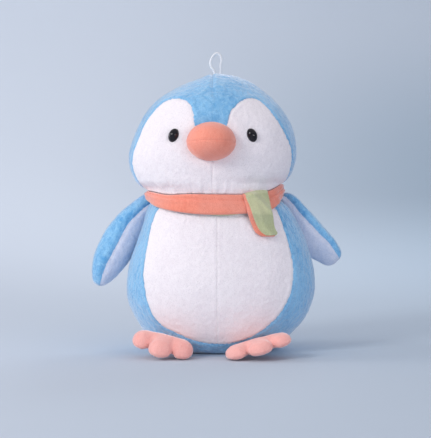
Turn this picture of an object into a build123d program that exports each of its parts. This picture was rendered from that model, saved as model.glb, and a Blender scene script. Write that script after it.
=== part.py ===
from build123d import *
import math
import os

os.makedirs("parts", exist_ok=True)

# Plush penguin, standing on its flat base. +Z up, the face looks along -Y, +X is to the right of
# someone facing it. The origin is on the floor, under the middle of the plan outline. Millimetres.

# ---------------------------------------------------------------- driving dimensions
axis_y = 10.3             # the body's own axis stands this far behind the origin
plush = 2.4               # plush cloth, with its pile pressed flat
velvet = 1.8              # short-pile cloth of beak and feet
neck_z = 150.0            # top of the body filling
neck_gap = 1.0            # slack between body and head at the neck
clear = 0.8               # clearance kept between the body and what moves against it

# (z, half width, half depth, centre x) up the body
body_sections = [
    (0, 45, 37, 4.0), (8, 60, 49, 4.0), (18, 73, 59, 4.0), (31, 83, 66.5, 4.0),
    (47, 91, 72, 4.0), (65, 93.5, 74, 4.0), (81, 92, 73, 4.0), (98, 87, 70, 4.0),
    (117, 80, 66, 3.5), (135, 72.8, 62.5, 2.3), (144, 68.0, 59.5, 1.5), (neck_z, 61, 55, -1.0),
]
# (z, half width, half depth, centre x) up the head
head_sections = [
    (neck_z + neck_gap, 54, 49, -2.0), (155, 58.5, 52.5, -2.2), (161, 63.5, 57.0, -2.6),
    (166, 70, 61.0, -3.2), (172, 76, 64.5, -3.8), (180, 80.5, 67, -4.0), (197, 83.5, 69, -4.0),
    (212, 80.5, 68, -4.0), (229, 73, 63.5, -4.0), (241.5, 64.5, 57, -4.0), (250, 55.5, 50, -3.8),
    (258, 45, 41.5, -3.4), (265, 33, 31, -3.0), (270, 22, 21, -2.5), (273.5, 10, 10, -1.5),
]

head_seam_x = -4.0
belly_seam_x = 0.5
back_seam_x = 2.0

# inner edge of each white face lobe, from the brow over the top and down the cheek (x, z)
face_left = [
    (-13.0, 212.0), (-20.2, 218.2), (-22.4, 232.2), (-27.1, 241.0), (-36.8, 245.3), (-46.2, 244.9),
    (-54.5, 240.5), (-62.9, 232.6), (-70.3, 222.1), (-76.2, 209.6), (-81.1, 196.7), (-82.2, 184.9),
    (-80.5, 174.0), (-77.0, 164.0),
]
face_right = [
    (4.0, 212.0), (9.8, 219.1), (11.8, 227.3), (16.5, 235.9), (25.3, 243.3), (34.1, 246.0),
    (42.4, 243.6), (49.3, 236.5), (56.1, 227.6), (63.3, 216.8), (69.4, 205.6), (73.1, 196.7),
    (73.8, 186.7), (71.9, 176.0), (68.5, 166.0),
]
# edge of the white belly, from the bottom seam up each side (x, z)
belly_left = [
    (-20.0, 14.0), (-35.9, 20.2), (-54.9, 31.0), (-63.2, 43.0), (-68.1, 59.3), (-70.2, 77.6),
    (-68.6, 98.8), (-64.9, 117.6), (-59.5, 133.9), (-54.0, 144.0),
]
belly_right = [
    (22.3, 14.2), (40.0, 22.2), (55.0, 34.4), (65.5, 48.9), (71.8, 64.6), (73.3, 83.2),
    (70.9, 99.0), (65.8, 117.7), (58.5, 136.7), (53.0, 145.0),
]
belly_bottom_z = 11.2

base_half_width, base_half_depth = 41.0, 33.0

# beak, as ellipses on planes facing the front: (distance in front of the body axis, half width, half height)
beak_x, beak_z, beak_seam_z = -5.0, 202.6, 202.0
beak_sections = [
    (52.0, 23.0, 18.4), (66.0, 22.8, 18.2), (74.0, 21.4, 17.2), (82.0, 18.0, 14.6),
    (88.5, 13.0, 10.6), (92.5, 8.0, 6.6), (94.5, 3.6, 3.0),
]

# eyes: (x, z, turn of the socket about Z, lean of the oval)
eye_half_width, eye_half_height, eye_height = 5.3, 6.6, 5.6
eye_stem_r, eye_stem_length = 2.0, 12.0
washer_r, washer_thick, washer_depth = 7.0, 1.5, 3.9

# flippers: (x, z, half width, half thickness) down the middle of each
flipper_y = axis_y + 9.0
flipper_left_line = [
    (-66.0, 152.5, 8.5, 6.0), (-78.5, 139.5, 13.0, 9.5), (-91.5, 121.5, 17.0, 13.0),
    (-101.0, 103.0, 18.5, 14.5), (-108.0, 86.0, 17.0, 13.0), (-113.5, 73.0, 12.8, 9.5),
    (-117.0, 64.0, 5.5, 4.5),
]
flipper_right_line = [
    (65.5, 153.0, 8.5, 6.0), (75.5, 140.5, 12.5, 9.5), (84.5, 127.0, 16.0, 12.5),
    (95.6, 112.9, 18.0, 14.0), (106.6, 101.4, 17.0, 13.0), (115.6, 92.6, 12.3, 9.0),
    (121.0, 87.2, 5.5, 4.5),
]
flipper_left_pivot = (-69.0, 149.5)       # shoulder hinge, square to the front (x, z)
flipper_right_pivot = (69.0, 150.5)
flipper_travel = (0.0, 12.0, 24.0, 36.0, 45.0)
flipper_left_seam = ((-70.0, 146.0), (-115.5, 66.0))
flipper_right_seam = ((70.0, 151.0), (121.0, 94.0))

# feet: hinge point at the middle of the sewn rear edge, yaw, pitch (toes down) and roll in degrees
foot_thick = 17.0
foot_left_pose = ((-45.5, axis_y - 45.5, 19.2), -10.0, 17.0, -6.0)
foot_right_pose = ((37.0, axis_y - 52.0, 14.8), 8.0, 4.0, 11.0)
# pad and three toes, each a flattened lobe: (across, towards the toes, half width, half length)
foot_lobes = [(0.0, 14.0, 24.0, 16.5), (-18.5, 26.0, 9.6, 11.0), (0.0, 31.0, 11.0, 12.0), (18.5, 26.5, 10.0, 11.0)]
# how each lobe rounds off: (share of the half thickness, share of the outline)
lobe_rows = [(-1.0, 0.42), (-0.84, 0.72), (-0.5, 0.93), (0.0, 1.0), (0.5, 0.93), (0.84, 0.72), (1.0, 0.42)]
foot_travel = (0.0, 10.0, 20.0, 30.0)

# scarf: (z, half width, half depth, centre x) of the neck side of its lining
scarf_sections = [
    (130, 76.6, 67.0, 2.6), (137, 74.0, 64.8, 2.2), (144, 70.0, 61.4, 1.3), (150, 66.6, 59.6, -0.4),
    (156, 66.2, 59.2, -1.3), (164, 66.2, 59.2, -1.6),
]
lining_thick, band_thick = 1.6, 2.4
scarf_bottom_z, scarf_top_z = 143.0, 157.0

# scarf tail
tail_turn = 30.0
tail_top = (36.8, axis_y - 61.6, 156.5)
tail_bottom = (47.5, axis_y - 64.1, 114.5)
tail_half_width = 11.8
tail_layer = 2.0

# hang loop: cord diameter and route (x, z) from crown seam to crown seam
loop_d = 2.3
loop_route = [
    (-1.1, 270.5), (-1.6, 277.0), (-6.6, 283.6), (-5.2, 291.3), (1.2, 297.4), (5.6, 290.6),
    (3.9, 283.5), (4.4, 277.0), (3.3, 270.5),
]


def section_plane(cx, z):
    return Plane(origin=(cx, axis_y, z), x_dir=(1, 0, 0), z_dir=(0, 0, 1))


def front_plane(distance):
    """A plane facing the front, this far in front of the body axis."""
    return Plane(origin=(0, axis_y - distance, 0), x_dir=(1, 0, 0), z_dir=(0, -1, 0))


# ---------------------------------------------------------------- body
with BuildPart() as body_form:
    for z, w, d, cx in body_sections:
        with BuildSketch(section_plane(cx, z)):
            Ellipse(w, d)
    loft()

with BuildPart() as body_core:
    for z, w, d, cx in body_sections:
        lift = plush * (1 - z / neck_z)
        with BuildSketch(section_plane(cx, z + lift)):
            Ellipse(w - plush, d - plush)
    loft()

with BuildPart() as body_clearance:
    for z, w, d, cx in body_sections:
        drop = clear * (1 - 2 * z / neck_z)
        with BuildSketch(section_plane(cx, z - drop)):
            Ellipse(w + clear, d + clear)
    loft()

with BuildPart() as body_skin:
    add(body_form.part)
    add(body_core.part, mode=Mode.SUBTRACT)

with BuildPart() as belly_prism_left:
    with BuildSketch(front_plane(8)):
        with BuildLine():
            Spline([(belly_seam_x, belly_bottom_z)] + belly_left)
            Polyline(belly_left[-1], (-52, 160), (belly_seam_x, 160), (belly_seam_x, belly_bottom_z))
        make_face()
    extrude(amount=90)

with BuildPart() as belly_prism_right:
    with BuildSketch(front_plane(8)):
        with BuildLine():
            Spline([(belly_seam_x, belly_bottom_z)] + belly_right)
            Polyline(belly_right[-1], (51, 160), (belly_seam_x, 160), (belly_seam_x, belly_bottom_z))
        make_face()
    extrude(amount=90)

with BuildPart() as base_panel:
    with BuildSketch(section_plane(4.0, 0)):
        Ellipse(base_half_width, base_half_depth)
    extrude(amount=plush)

with BuildPart() as belly_panel_left:
    add(body_skin.part)
    add(belly_prism_left.part, mode=Mode.INTERSECT)

with BuildPart() as belly_panel_right:
    add(body_skin.part)
    add(belly_prism_right.part, mode=Mode.INTERSECT)

with BuildPart() as back_shell:
    add(body_skin.part)
    add(belly_prism_left.part, mode=Mode.SUBTRACT)
    add(belly_prism_right.part, mode=Mode.SUBTRACT)
    add(base_panel.part, mode=Mode.SUBTRACT)

with BuildPart() as back_panel_left:
    add(back_shell.part)
    split(bisect_by=Plane.YZ.offset(back_seam_x), keep=Keep.BOTTOM)

with BuildPart() as back_panel_right:
    add(back_shell.part)
    split(bisect_by=Plane.YZ.offset(back_seam_x), keep=Keep.TOP)

with BuildPart() as body_stuffing:
    add(body_core.part)
    add(base_panel.part, mode=Mode.SUBTRACT)

# ---------------------------------------------------------------- head
with BuildPart() as head_form:
    for z, w, d, cx in head_sections:
        with BuildSketch(section_plane(cx, z)):
            Ellipse(w, d)
    loft()

with BuildPart() as head_core:
    z_low = head_sections[0][0]
    z_high = head_sections[-1][0]
    for z, w, d, cx in head_sections:
        drop = plush * (z - z_low) / (z_high - z_low)
        with BuildSketch(section_plane(cx, z - drop)):
            Ellipse(w - plush, d - plush)
    loft()

with BuildPart() as head_skin:
    add(head_form.part)
    add(head_core.part, mode=Mode.SUBTRACT)

with BuildPart() as face_prism_left:
    with BuildSketch(front_plane(3)):
        with BuildLine():
            Spline(face_left)
            Polyline(face_left[-1], (-79, 145), (head_seam_x, 145), (head_seam_x, 208), face_left[0])
        make_face()
    extrude(amount=90)

with BuildPart() as face_prism_right:
    with BuildSketch(front_plane(3)):
        with BuildLine():
            Spline(face_right)
            Polyline(face_right[-1], (71, 145), (head_seam_x, 145), (head_seam_x, 208), face_right[0])
        make_face()
    extrude(amount=90)


def eye_plane(side, depth=0.0):
    """The plane of an eye's rim, standing out of the face; depth is measured back into the head."""
    x, z, turn, lean = eye_places[side]
    out = Vector(math.sin(math.radians(turn)), -math.cos(math.radians(turn)), 0.13).normalized()
    across = Vector(math.cos(math.radians(turn)), math.sin(math.radians(turn)), 0)
    across = across.rotate(Axis((0, 0, 0), out), lean)
    half_depth = 68.3
    y = axis_y - half_depth * math.sqrt(1 - ((x + 4.0) / 81.3) ** 2)
    centre = Vector(x, y, z) - out * depth
    return Plane(origin=centre, x_dir=across, z_dir=out)


eye_places = {"left": (-40.9, 209.0, -25.0, -14.0), "right": (33.7, 209.1, 25.0, 12.0)}
eye_rows = [(-2.0, 1.0), (0.4, 1.0), (2.4, 0.95), (4.1, 0.79), (5.1, 0.55), (5.6, 0.26)]

with BuildPart() as eye_left:
    for rise, share in eye_rows:
        with BuildSketch(eye_plane("left", -rise)):
            Ellipse(eye_half_width * share, eye_half_height * share)
    loft()
    add(head_form.part, mode=Mode.SUBTRACT)
    with BuildSketch(eye_plane("left", -1.2)):
        Circle(eye_stem_r)
    extrude(amount=-eye_stem_length)

with BuildPart() as eye_right:
    for rise, share in eye_rows:
        with BuildSketch(eye_plane("right", -rise)):
            Ellipse(eye_half_width * share, eye_half_height * share)
    loft()
    add(head_form.part, mode=Mode.SUBTRACT)
    with BuildSketch(eye_plane("right", -1.2)):
        Circle(eye_stem_r)
    extrude(amount=-eye_stem_length)

with BuildPart() as eye_washer_left:
    with BuildSketch(eye_plane("left", washer_depth)):
        Circle(washer_r)
        Circle(eye_stem_r, mode=Mode.SUBTRACT)
    extrude(amount=-washer_thick)

with BuildPart() as eye_washer_right:
    with BuildSketch(eye_plane("right", washer_depth)):
        Circle(washer_r)
        Circle(eye_stem_r, mode=Mode.SUBTRACT)
    extrude(amount=-washer_thick)

with BuildPart() as face_panel_left:
    add(head_skin.part)
    add(face_prism_left.part, mode=Mode.INTERSECT)
    add(eye_left.part, mode=Mode.SUBTRACT)

with BuildPart() as face_panel_right:
    add(head_skin.part)
    add(face_prism_right.part, mode=Mode.INTERSECT)
    add(eye_right.part, mode=Mode.SUBTRACT)

with BuildPart() as head_shell:
    add(head_skin.part)
    add(face_prism_left.part, mode=Mode.SUBTRACT)
    add(face_prism_right.part, mode=Mode.SUBTRACT)

with BuildPart() as head_panel_left:
    add(head_shell.part)
    split(bisect_by=Plane.YZ.offset(head_seam_x), keep=Keep.BOTTOM)

with BuildPart() as head_panel_right:
    add(head_shell.part)
    split(bisect_by=Plane.YZ.offset(head_seam_x), keep=Keep.TOP)

with BuildPart() as head_stuffing:
    add(head_core.part)
    add(eye_left.part, mode=Mode.SUBTRACT)
    add(eye_right.part, mode=Mode.SUBTRACT)
    add(eye_washer_left.part, mode=Mode.SUBTRACT)
    add(eye_washer_right.part, mode=Mode.SUBTRACT)

# ---------------------------------------------------------------- beak
with BuildPart() as beak_form:
    for distance, w, h in beak_sections:
        with BuildSketch(front_plane(distance)):
            with Locations((beak_x, beak_z)):
                Ellipse(w, h)
    loft()
    add(head_form.part, mode=Mode.SUBTRACT)

with BuildPart() as beak_core:
    for distance, w, h in beak_sections[:-1]:
        with BuildSketch(front_plane(distance - velvet * (distance > 60))):
            with Locations((beak_x, beak_z)):
                Ellipse(w - velvet, h - velvet)
    loft()
    add(head_form.part, mode=Mode.SUBTRACT)

with BuildPart() as beak_stuffing:
    add(beak_core.part)

with BuildPart() as beak_skin:
    add(beak_form.part)
    add(beak_core.part, mode=Mode.SUBTRACT)

with BuildPart() as beak_upper:
    add(beak_skin.part)
    split(bisect_by=Plane.XY.offset(beak_seam_z), keep=Keep.TOP)

with BuildPart() as beak_lower:
    add(beak_skin.part)
    split(bisect_by=Plane.XY.offset(beak_seam_z), keep=Keep.BOTTOM)


# ---------------------------------------------------------------- flippers
def flipper_planes(line):
    """A plane square to the flipper's middle line at each of its stations."""
    planes = []
    for i, (x, z, w, t) in enumerate(line):
        x0, z0 = line[max(i - 1, 0)][:2]
        x1, z1 = line[min(i + 1, len(line) - 1)][:2]
        along = Vector(x1 - x0, 0, z1 - z0).normalized()
        across = Vector(0, 1, 0).cross(along)
        planes.append(Plane(origin=(x, flipper_y, z), x_dir=across, z_dir=along))
    return planes


def seam_plane(seam):
    """The plane through a flipper's seam line, square to the front."""
    (x0, z0), (x1, z1) = seam
    along = Vector(x1 - x0, 0, z1 - z0).normalized()
    outward = Vector(0, 1, 0).cross(along)
    if outward.Z < 0:
        outward = outward * -1
    return Plane(origin=(x0, flipper_y, z0), x_dir=along, z_dir=outward)


# what the shoulder must keep out of: the body and the scarf, turned back about each shoulder hinge
with BuildPart() as shoulder_clearance:
    for z, w, d, cx in scarf_sections:
        with BuildSketch(section_plane(cx, z)):
            Ellipse(w + lining_thick + band_thick + clear, d + lining_thick + band_thick + clear)
    loft()
    add(body_clearance.part)

left_shoulder = Axis((flipper_left_pivot[0], flipper_y, flipper_left_pivot[1]), (0, 1, 0))
right_shoulder = Axis((flipper_right_pivot[0], flipper_y, flipper_right_pivot[1]), (0, -1, 0))

with BuildPart() as flipper_left_sweep:
    for angle in flipper_travel:
        add(shoulder_clearance.part.rotate(left_shoulder, -angle))

with BuildPart() as flipper_right_sweep:
    for angle in flipper_travel:
        add(shoulder_clearance.part.rotate(right_shoulder, -angle))

with BuildPart() as flipper_left_form:
    for plane, (x, z, w, t) in zip(flipper_planes(flipper_left_line), flipper_left_line):
        with BuildSketch(plane):
            Ellipse(w, t)
    loft()
    add(flipper_left_sweep.part, mode=Mode.SUBTRACT)

with BuildPart() as flipper_left_core:
    for plane, (x, z, w, t) in zip(flipper_planes(flipper_left_line)[:-1], flipper_left_line):
        with BuildSketch(plane.offset(1.5 if x > -70 else 0)):
            Ellipse(w - plush, t - plush)
    loft()
    add(flipper_left_sweep.part, mode=Mode.SUBTRACT)

with BuildPart() as flipper_left_skin:
    add(flipper_left_form.part)
    add(flipper_left_core.part, mode=Mode.SUBTRACT)

with BuildPart() as flipper_left_stuffing:
    add(flipper_left_core.part)

with BuildPart() as flipper_left_outer:
    add(flipper_left_skin.part)
    split(bisect_by=seam_plane(flipper_left_seam), keep=Keep.TOP)

with BuildPart() as flipper_left_inner:
    add(flipper_left_skin.part)
    split(bisect_by=seam_plane(flipper_left_seam), keep=Keep.BOTTOM)

with BuildPart() as flipper_right_form:
    for plane, (x, z, w, t) in zip(flipper_planes(flipper_right_line), flipper_right_line):
        with BuildSketch(plane):
            Ellipse(w, t)
    loft()
    add(flipper_right_sweep.part, mode=Mode.SUBTRACT)

with BuildPart() as flipper_right_core:
    for plane, (x, z, w, t) in zip(flipper_planes(flipper_right_line)[:-1], flipper_right_line):
        with BuildSketch(plane.offset(1.5 if x < 70 else 0)):
            Ellipse(w - plush, t - plush)
    loft()
    add(flipper_right_sweep.part, mode=Mode.SUBTRACT)

with BuildPart() as flipper_right_skin:
    add(flipper_right_form.part)
    add(flipper_right_core.part, mode=Mode.SUBTRACT)

with BuildPart() as flipper_right_stuffing:
    add(flipper_right_core.part)

with BuildPart() as flipper_right_outer:
    add(flipper_right_skin.part)
    split(bisect_by=seam_plane(flipper_right_seam), keep=Keep.TOP)

with BuildPart() as flipper_right_inner:
    add(flipper_right_skin.part)
    split(bisect_by=seam_plane(flipper_right_seam), keep=Keep.BOTTOM)


# ---------------------------------------------------------------- feet
def foot_plane(pose, rise=0.0):
    """A foot's own mid plane: x across, y towards the toes, z out of its top."""
    origin, yaw, pitch, roll = pose
    across = Vector(1, 0, 0).rotate(Axis.Z, yaw)
    toes = Vector(0, -1, 0).rotate(Axis.Z, yaw)
    toes = toes.rotate(Axis((0, 0, 0), across), pitch)
    across = across.rotate(Axis((0, 0, 0), toes), roll)
    up = toes.cross(across)
    return Plane(origin=Vector(*origin) + up * rise, x_dir=across * -1, z_dir=up)


def foot_hinge(pose):
    plane = foot_plane(pose)
    return Axis(plane.origin, plane.x_dir)


with BuildPart() as foot_left_form:
    for u, v, a, b in foot_lobes:
        for rise, share in lobe_rows:
            with BuildSketch(foot_plane(foot_left_pose, rise * foot_thick / 2)):
                with Locations((u, v)):
                    Ellipse(a * share, b * share)
        loft()

with BuildPart() as foot_left_core:
    for u, v, a, b in foot_lobes:
        for rise, share in lobe_rows:
            with BuildSketch(foot_plane(foot_left_pose, rise * (foot_thick / 2 - velvet))):
                with Locations((u, v)):
                    Ellipse((a - velvet) * share, (b - velvet) * share)
        loft()

with BuildPart() as foot_right_form:
    for u, v, a, b in foot_lobes:
        for rise, share in lobe_rows:
            with BuildSketch(foot_plane(foot_right_pose, rise * foot_thick / 2)):
                with Locations((u, v)):
                    Ellipse(a * share, b * share)
        loft()

with BuildPart() as foot_right_core:
    for u, v, a, b in foot_lobes:
        for rise, share in lobe_rows:
            with BuildSketch(foot_plane(foot_right_pose, rise * (foot_thick / 2 - velvet))):
                with Locations((u, v)):
                    Ellipse((a - velvet) * share, (b - velvet) * share)
        loft()

# the body, turned back about each foot's sewn edge: what the foot must keep out of as it lifts
with BuildPart() as foot_left_sweep:
    for angle in foot_travel:
        add(body_clearance.part.rotate(foot_hinge(foot_left_pose), -angle))

with BuildPart() as foot_right_sweep:
    for angle in foot_travel:
        add(body_clearance.part.rotate(foot_hinge(foot_right_pose), -angle))

with BuildPart() as foot_left_upper:
    add(foot_left_form.part)
    add(foot_left_core.part, mode=Mode.SUBTRACT)
    add(foot_left_sweep.part, mode=Mode.SUBTRACT)
    split(bisect_by=foot_plane(foot_left_pose), keep=Keep.TOP)

with BuildPart() as foot_left_sole:
    add(foot_left_form.part)
    add(foot_left_core.part, mode=Mode.SUBTRACT)
    add(foot_left_sweep.part, mode=Mode.SUBTRACT)
    split(bisect_by=foot_plane(foot_left_pose), keep=Keep.BOTTOM)

with BuildPart() as foot_left_stuffing:
    add(foot_left_core.part)
    add(foot_left_sweep.part, mode=Mode.SUBTRACT)

with BuildPart() as foot_right_upper:
    add(foot_right_form.part)
    add(foot_right_core.part, mode=Mode.SUBTRACT)
    add(foot_right_sweep.part, mode=Mode.SUBTRACT)
    split(bisect_by=foot_plane(foot_right_pose), keep=Keep.TOP)

with BuildPart() as foot_right_sole:
    add(foot_right_form.part)
    add(foot_right_core.part, mode=Mode.SUBTRACT)
    add(foot_right_sweep.part, mode=Mode.SUBTRACT)
    split(bisect_by=foot_plane(foot_right_pose), keep=Keep.BOTTOM)

with BuildPart() as foot_right_stuffing:
    add(foot_right_core.part)
    add(foot_right_sweep.part, mode=Mode.SUBTRACT)

# ---------------------------------------------------------------- scarf
scarf_top = Plane(origin=(0, axis_y, scarf_top_z), z_dir=Vector(-0.02, -0.033, 1))
scarf_bottom = Plane(origin=(0, axis_y, scarf_bottom_z), z_dir=Vector(-0.03, -0.10, 1))

with BuildPart() as scarf_inside:
    for z, w, d, cx in scarf_sections:
        with BuildSketch(section_plane(cx, z)):
            Ellipse(w, d)
    loft()

with BuildPart() as scarf_between:
    for z, w, d, cx in scarf_sections:
        with BuildSketch(section_plane(cx, z)):
            Ellipse(w + lining_thick, d + lining_thick)
    loft()

with BuildPart() as scarf_lining:
    for z, w, d, cx in scarf_sections:
        with BuildSketch(section_plane(cx, z)):
            Ellipse(w + lining_thick, d + lining_thick)
    loft()
    add(scarf_inside.part, mode=Mode.SUBTRACT)
    split(bisect_by=scarf_top, keep=Keep.BOTTOM)
    split(bisect_by=scarf_bottom, keep=Keep.TOP)

with BuildPart() as scarf_band:
    for z, w, d, cx in scarf_sections:
        with BuildSketch(section_plane(cx, z)):
            Ellipse(w + lining_thick + band_thick, d + lining_thick + band_thick)
    loft()
    add(scarf_between.part, mode=Mode.SUBTRACT)
    split(bisect_by=scarf_top, keep=Keep.BOTTOM)
    split(bisect_by=scarf_bottom, keep=Keep.TOP)

tail_across = Vector(math.cos(math.radians(tail_turn)), math.sin(math.radians(tail_turn)), 0)
tail_down = (Vector(*tail_bottom) - Vector(*tail_top)).normalized()
tail_out = tail_across.cross(tail_down * -1).normalized()
tail_length = (Vector(*tail_bottom) - Vector(*tail_top)).length
tail_side = tail_down.cross(tail_out).normalized()
tail_plane = Plane(origin=tail_top, x_dir=tail_side * -1 if tail_side.X < 0 else tail_side, z_dir=tail_out)
tail_sign = 1 if tail_plane.y_dir.Z < 0 else -1

with BuildPart() as scarf_tail_back:
    with BuildSketch(tail_plane):
        with BuildLine():
            Polyline(
                (-tail_half_width, 0), (tail_half_width, 0),
                (tail_half_width + 0.6, tail_sign * tail_length * 0.75),
                (tail_half_width - 4.0, tail_sign * tail_length),
                (-tail_half_width + 5.0, tail_sign * tail_length),
                (-tail_half_width - 0.4, tail_sign * tail_length * 0.86),
                close=True,
            )
        make_face()
    extrude(amount=tail_layer)

with BuildPart() as scarf_tail_front:
    with BuildSketch(tail_plane.offset(tail_layer)):
        with BuildLine():
            Polyline(
                (-tail_half_width, 0), (tail_half_width, 0),
                (tail_half_width + 0.6, tail_sign * tail_length * 0.75),
                (tail_half_width - 4.0, tail_sign * tail_length),
                (-tail_half_width + 5.0, tail_sign * tail_length),
                (-tail_half_width - 0.4, tail_sign * tail_length * 0.86),
                close=True,
            )
        make_face()
    extrude(amount=tail_layer)

# ---------------------------------------------------------------- hang loop
loop_points = [Vector(x, axis_y, z) for x, z in loop_route]
loop_runs = [(b - a).length for a, b in zip(loop_points, loop_points[1:])]
loop_radii = []
for i in range(1, len(loop_points) - 1):
    before = loop_points[i] - loop_points[i - 1]
    after = loop_points[i + 1] - loop_points[i]
    turn = math.radians(before.get_angle(after))
    loop_radii.append(0.45 * min(loop_runs[i - 1], loop_runs[i]) / math.tan(turn / 2))

with BuildPart() as hang_loop:
    with BuildLine() as loop_line:
        FilletPolyline(loop_points, radius=loop_radii)
    with BuildSketch(Plane(origin=loop_line.line @ 0, z_dir=loop_line.line % 0)):
        Circle(loop_d / 2)
    sweep()
    add(head_form.part, mode=Mode.SUBTRACT)
loop_length = sum(edge.length for edge in loop_line.edges())
print("hang loop radii", [round(r, 1) for r in loop_radii], "line", round(loop_length, 1),
      "tube", round(math.pi * loop_d ** 2 / 4 * loop_length, 1), "solid", round(hang_loop.part.volume, 1))

# ---------------------------------------------------------------- write every piece
pieces = {
    "base_panel": base_panel, "belly_panel_left": belly_panel_left,
    "belly_panel_right": belly_panel_right, "back_panel_left": back_panel_left,
    "back_panel_right": back_panel_right, "body_stuffing": body_stuffing,
    "head_panel_left": head_panel_left, "head_panel_right": head_panel_right,
    "face_panel_left": face_panel_left, "face_panel_right": face_panel_right,
    "head_stuffing": head_stuffing, "beak_upper": beak_upper, "beak_lower": beak_lower,
    "beak_stuffing": beak_stuffing, "eye_left": eye_left, "eye_right": eye_right,
    "eye_washer_left": eye_washer_left, "eye_washer_right": eye_washer_right,
    "flipper_left_outer": flipper_left_outer, "flipper_left_inner": flipper_left_inner,
    "flipper_left_stuffing": flipper_left_stuffing, "flipper_right_outer": flipper_right_outer,
    "flipper_right_inner": flipper_right_inner, "flipper_right_stuffing": flipper_right_stuffing,
    "foot_left_upper": foot_left_upper, "foot_left_sole": foot_left_sole,
    "foot_left_stuffing": foot_left_stuffing, "foot_right_upper": foot_right_upper,
    "foot_right_sole": foot_right_sole, "foot_right_stuffing": foot_right_stuffing,
    "scarf_band": scarf_band, "scarf_lining": scarf_lining,
    "scarf_tail_front": scarf_tail_front, "scarf_tail_back": scarf_tail_back,
    "hang_loop": hang_loop,
}
for name, piece in pieces.items():
    piece.part.label = name
    export_step(piece.part, f"parts/{name}.step")
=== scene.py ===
import math

import bmesh
import bpy
import numpy as np
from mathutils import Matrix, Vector


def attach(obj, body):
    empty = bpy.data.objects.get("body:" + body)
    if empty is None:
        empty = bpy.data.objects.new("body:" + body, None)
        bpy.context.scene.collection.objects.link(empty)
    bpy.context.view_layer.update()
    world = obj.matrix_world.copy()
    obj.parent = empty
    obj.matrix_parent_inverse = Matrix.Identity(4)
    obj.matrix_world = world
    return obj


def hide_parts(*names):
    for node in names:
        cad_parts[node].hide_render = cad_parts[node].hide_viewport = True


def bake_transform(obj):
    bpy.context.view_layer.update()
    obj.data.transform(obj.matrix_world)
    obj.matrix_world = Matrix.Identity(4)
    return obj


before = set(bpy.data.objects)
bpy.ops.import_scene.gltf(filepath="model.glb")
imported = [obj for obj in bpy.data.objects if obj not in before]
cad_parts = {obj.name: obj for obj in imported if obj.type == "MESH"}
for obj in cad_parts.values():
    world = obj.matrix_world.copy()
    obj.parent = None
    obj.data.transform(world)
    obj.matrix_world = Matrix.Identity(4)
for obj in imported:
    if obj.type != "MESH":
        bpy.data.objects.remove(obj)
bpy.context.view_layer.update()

GRAIN = 1.15          # mesh spacing of the plush skins, mm
AXIS_Y = 10.3                           # the body's own axis, mm behind the origin
scene = bpy.context.scene
rng = np.random.default_rng(7)

# ------------------------------------------------------------------ camera
cam_data = bpy.data.cameras.new("camera")
cam = bpy.data.objects.new("camera", cam_data)
scene.collection.objects.link(cam)
cam_data.sensor_width = 36.0
cam_data.lens = 36.0 * 1050.0 / 438.0
cam.location = (-0.001, 0.0103 - 1.05, 0.130)
cam.rotation_euler = (math.radians(90), 0, 0)
cam_data.clip_start, cam_data.clip_end = 0.05, 60.0
scene.camera = cam

# ------------------------------------------------------------------ small numeric tools
_perm = np.random.default_rng(11).permutation(256).astype(np.int64)
_perm = np.concatenate([_perm, _perm])
_grad = np.random.default_rng(12).normal(size=(256, 3))
_grad /= np.linalg.norm(_grad, axis=1, keepdims=True)


def perlin(p):
    """Smooth noise from about -1 to 1 at points p (N, 3)."""
    p = np.asarray(p, float)
    i = np.floor(p).astype(np.int64)
    f = p - i
    u = f * f * f * (f * (f * 6 - 15) + 10)
    i &= 255
    out = np.zeros(len(p))
    for dx in (0, 1):
        for dy in (0, 1):
            for dz in (0, 1):
                h = _perm[(_perm[(_perm[(i[:, 0] + dx) & 255] + i[:, 1] + dy) & 255] + i[:, 2] + dz) & 255]
                d = np.sum(_grad[h] * (f - (dx, dy, dz)), axis=1)
                w = (u[:, 0] if dx else 1 - u[:, 0]) * (u[:, 1] if dy else 1 - u[:, 1]) * (u[:, 2] if dz else 1 - u[:, 2])
                out += d * w
    return out * 1.6


def fbm(p, octaves=3, gain=0.5):
    total, amp = np.zeros(len(p)), 1.0
    for o in range(octaves):
        total += amp * perlin(p * 2.0 ** o + 17.3 * o)
        amp *= gain
    return total


def smooth(e0, e1, x):
    t = np.clip((x - e0) / (e1 - e0), 0, 1)
    return t * t * (3 - 2 * t)


def bell(x, w):
    return np.exp(-(x / w) ** 2)


def spline(t, y):
    """A natural cubic spline through (t, y), as a function."""
    t, y = np.asarray(t, float), np.asarray(y, float)
    n = len(t)
    h = np.diff(t)
    a = np.zeros((n, n))
    b = np.zeros(n)
    a[0, 0] = a[-1, -1] = 1
    for i in range(1, n - 1):
        a[i, i - 1], a[i, i], a[i, i + 1] = h[i - 1], 2 * (h[i - 1] + h[i]), h[i]
        b[i] = 3 * ((y[i + 1] - y[i]) / h[i] - (y[i] - y[i - 1]) / h[i - 1])
    c = np.linalg.solve(a, b)

    def f(x):
        x = np.asarray(x, float)
        k = np.clip(np.searchsorted(t, x, side="right") - 1, 0, n - 2)
        s = x - t[k]
        bb = (y[k + 1] - y[k]) / h[k] - h[k] * (2 * c[k] + c[k + 1]) / 3
        d = (c[k + 1] - c[k]) / (3 * h[k])
        return y[k] + bb * s + c[k] * s ** 2 + d * s ** 3

    return f


def curve_through(points, step, closed=False):
    """Points every `step` along a smooth curve through the given ones."""
    p = np.asarray(points, float)
    if closed:
        p = np.vstack([p[-3:], p, p[:3]])
    t = np.concatenate([[0], np.cumsum(np.maximum(np.linalg.norm(np.diff(p, axis=0), axis=1), 1e-6))])
    fs = [spline(t, p[:, k]) for k in range(p.shape[1])]
    lo, hi = (t[3], t[-3]) if closed else (t[0], t[-1])
    n = max(8, int((hi - lo) / step))
    s = np.linspace(lo, hi, n, endpoint=not closed)
    return np.stack([f(s) for f in fs], axis=1)


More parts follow.
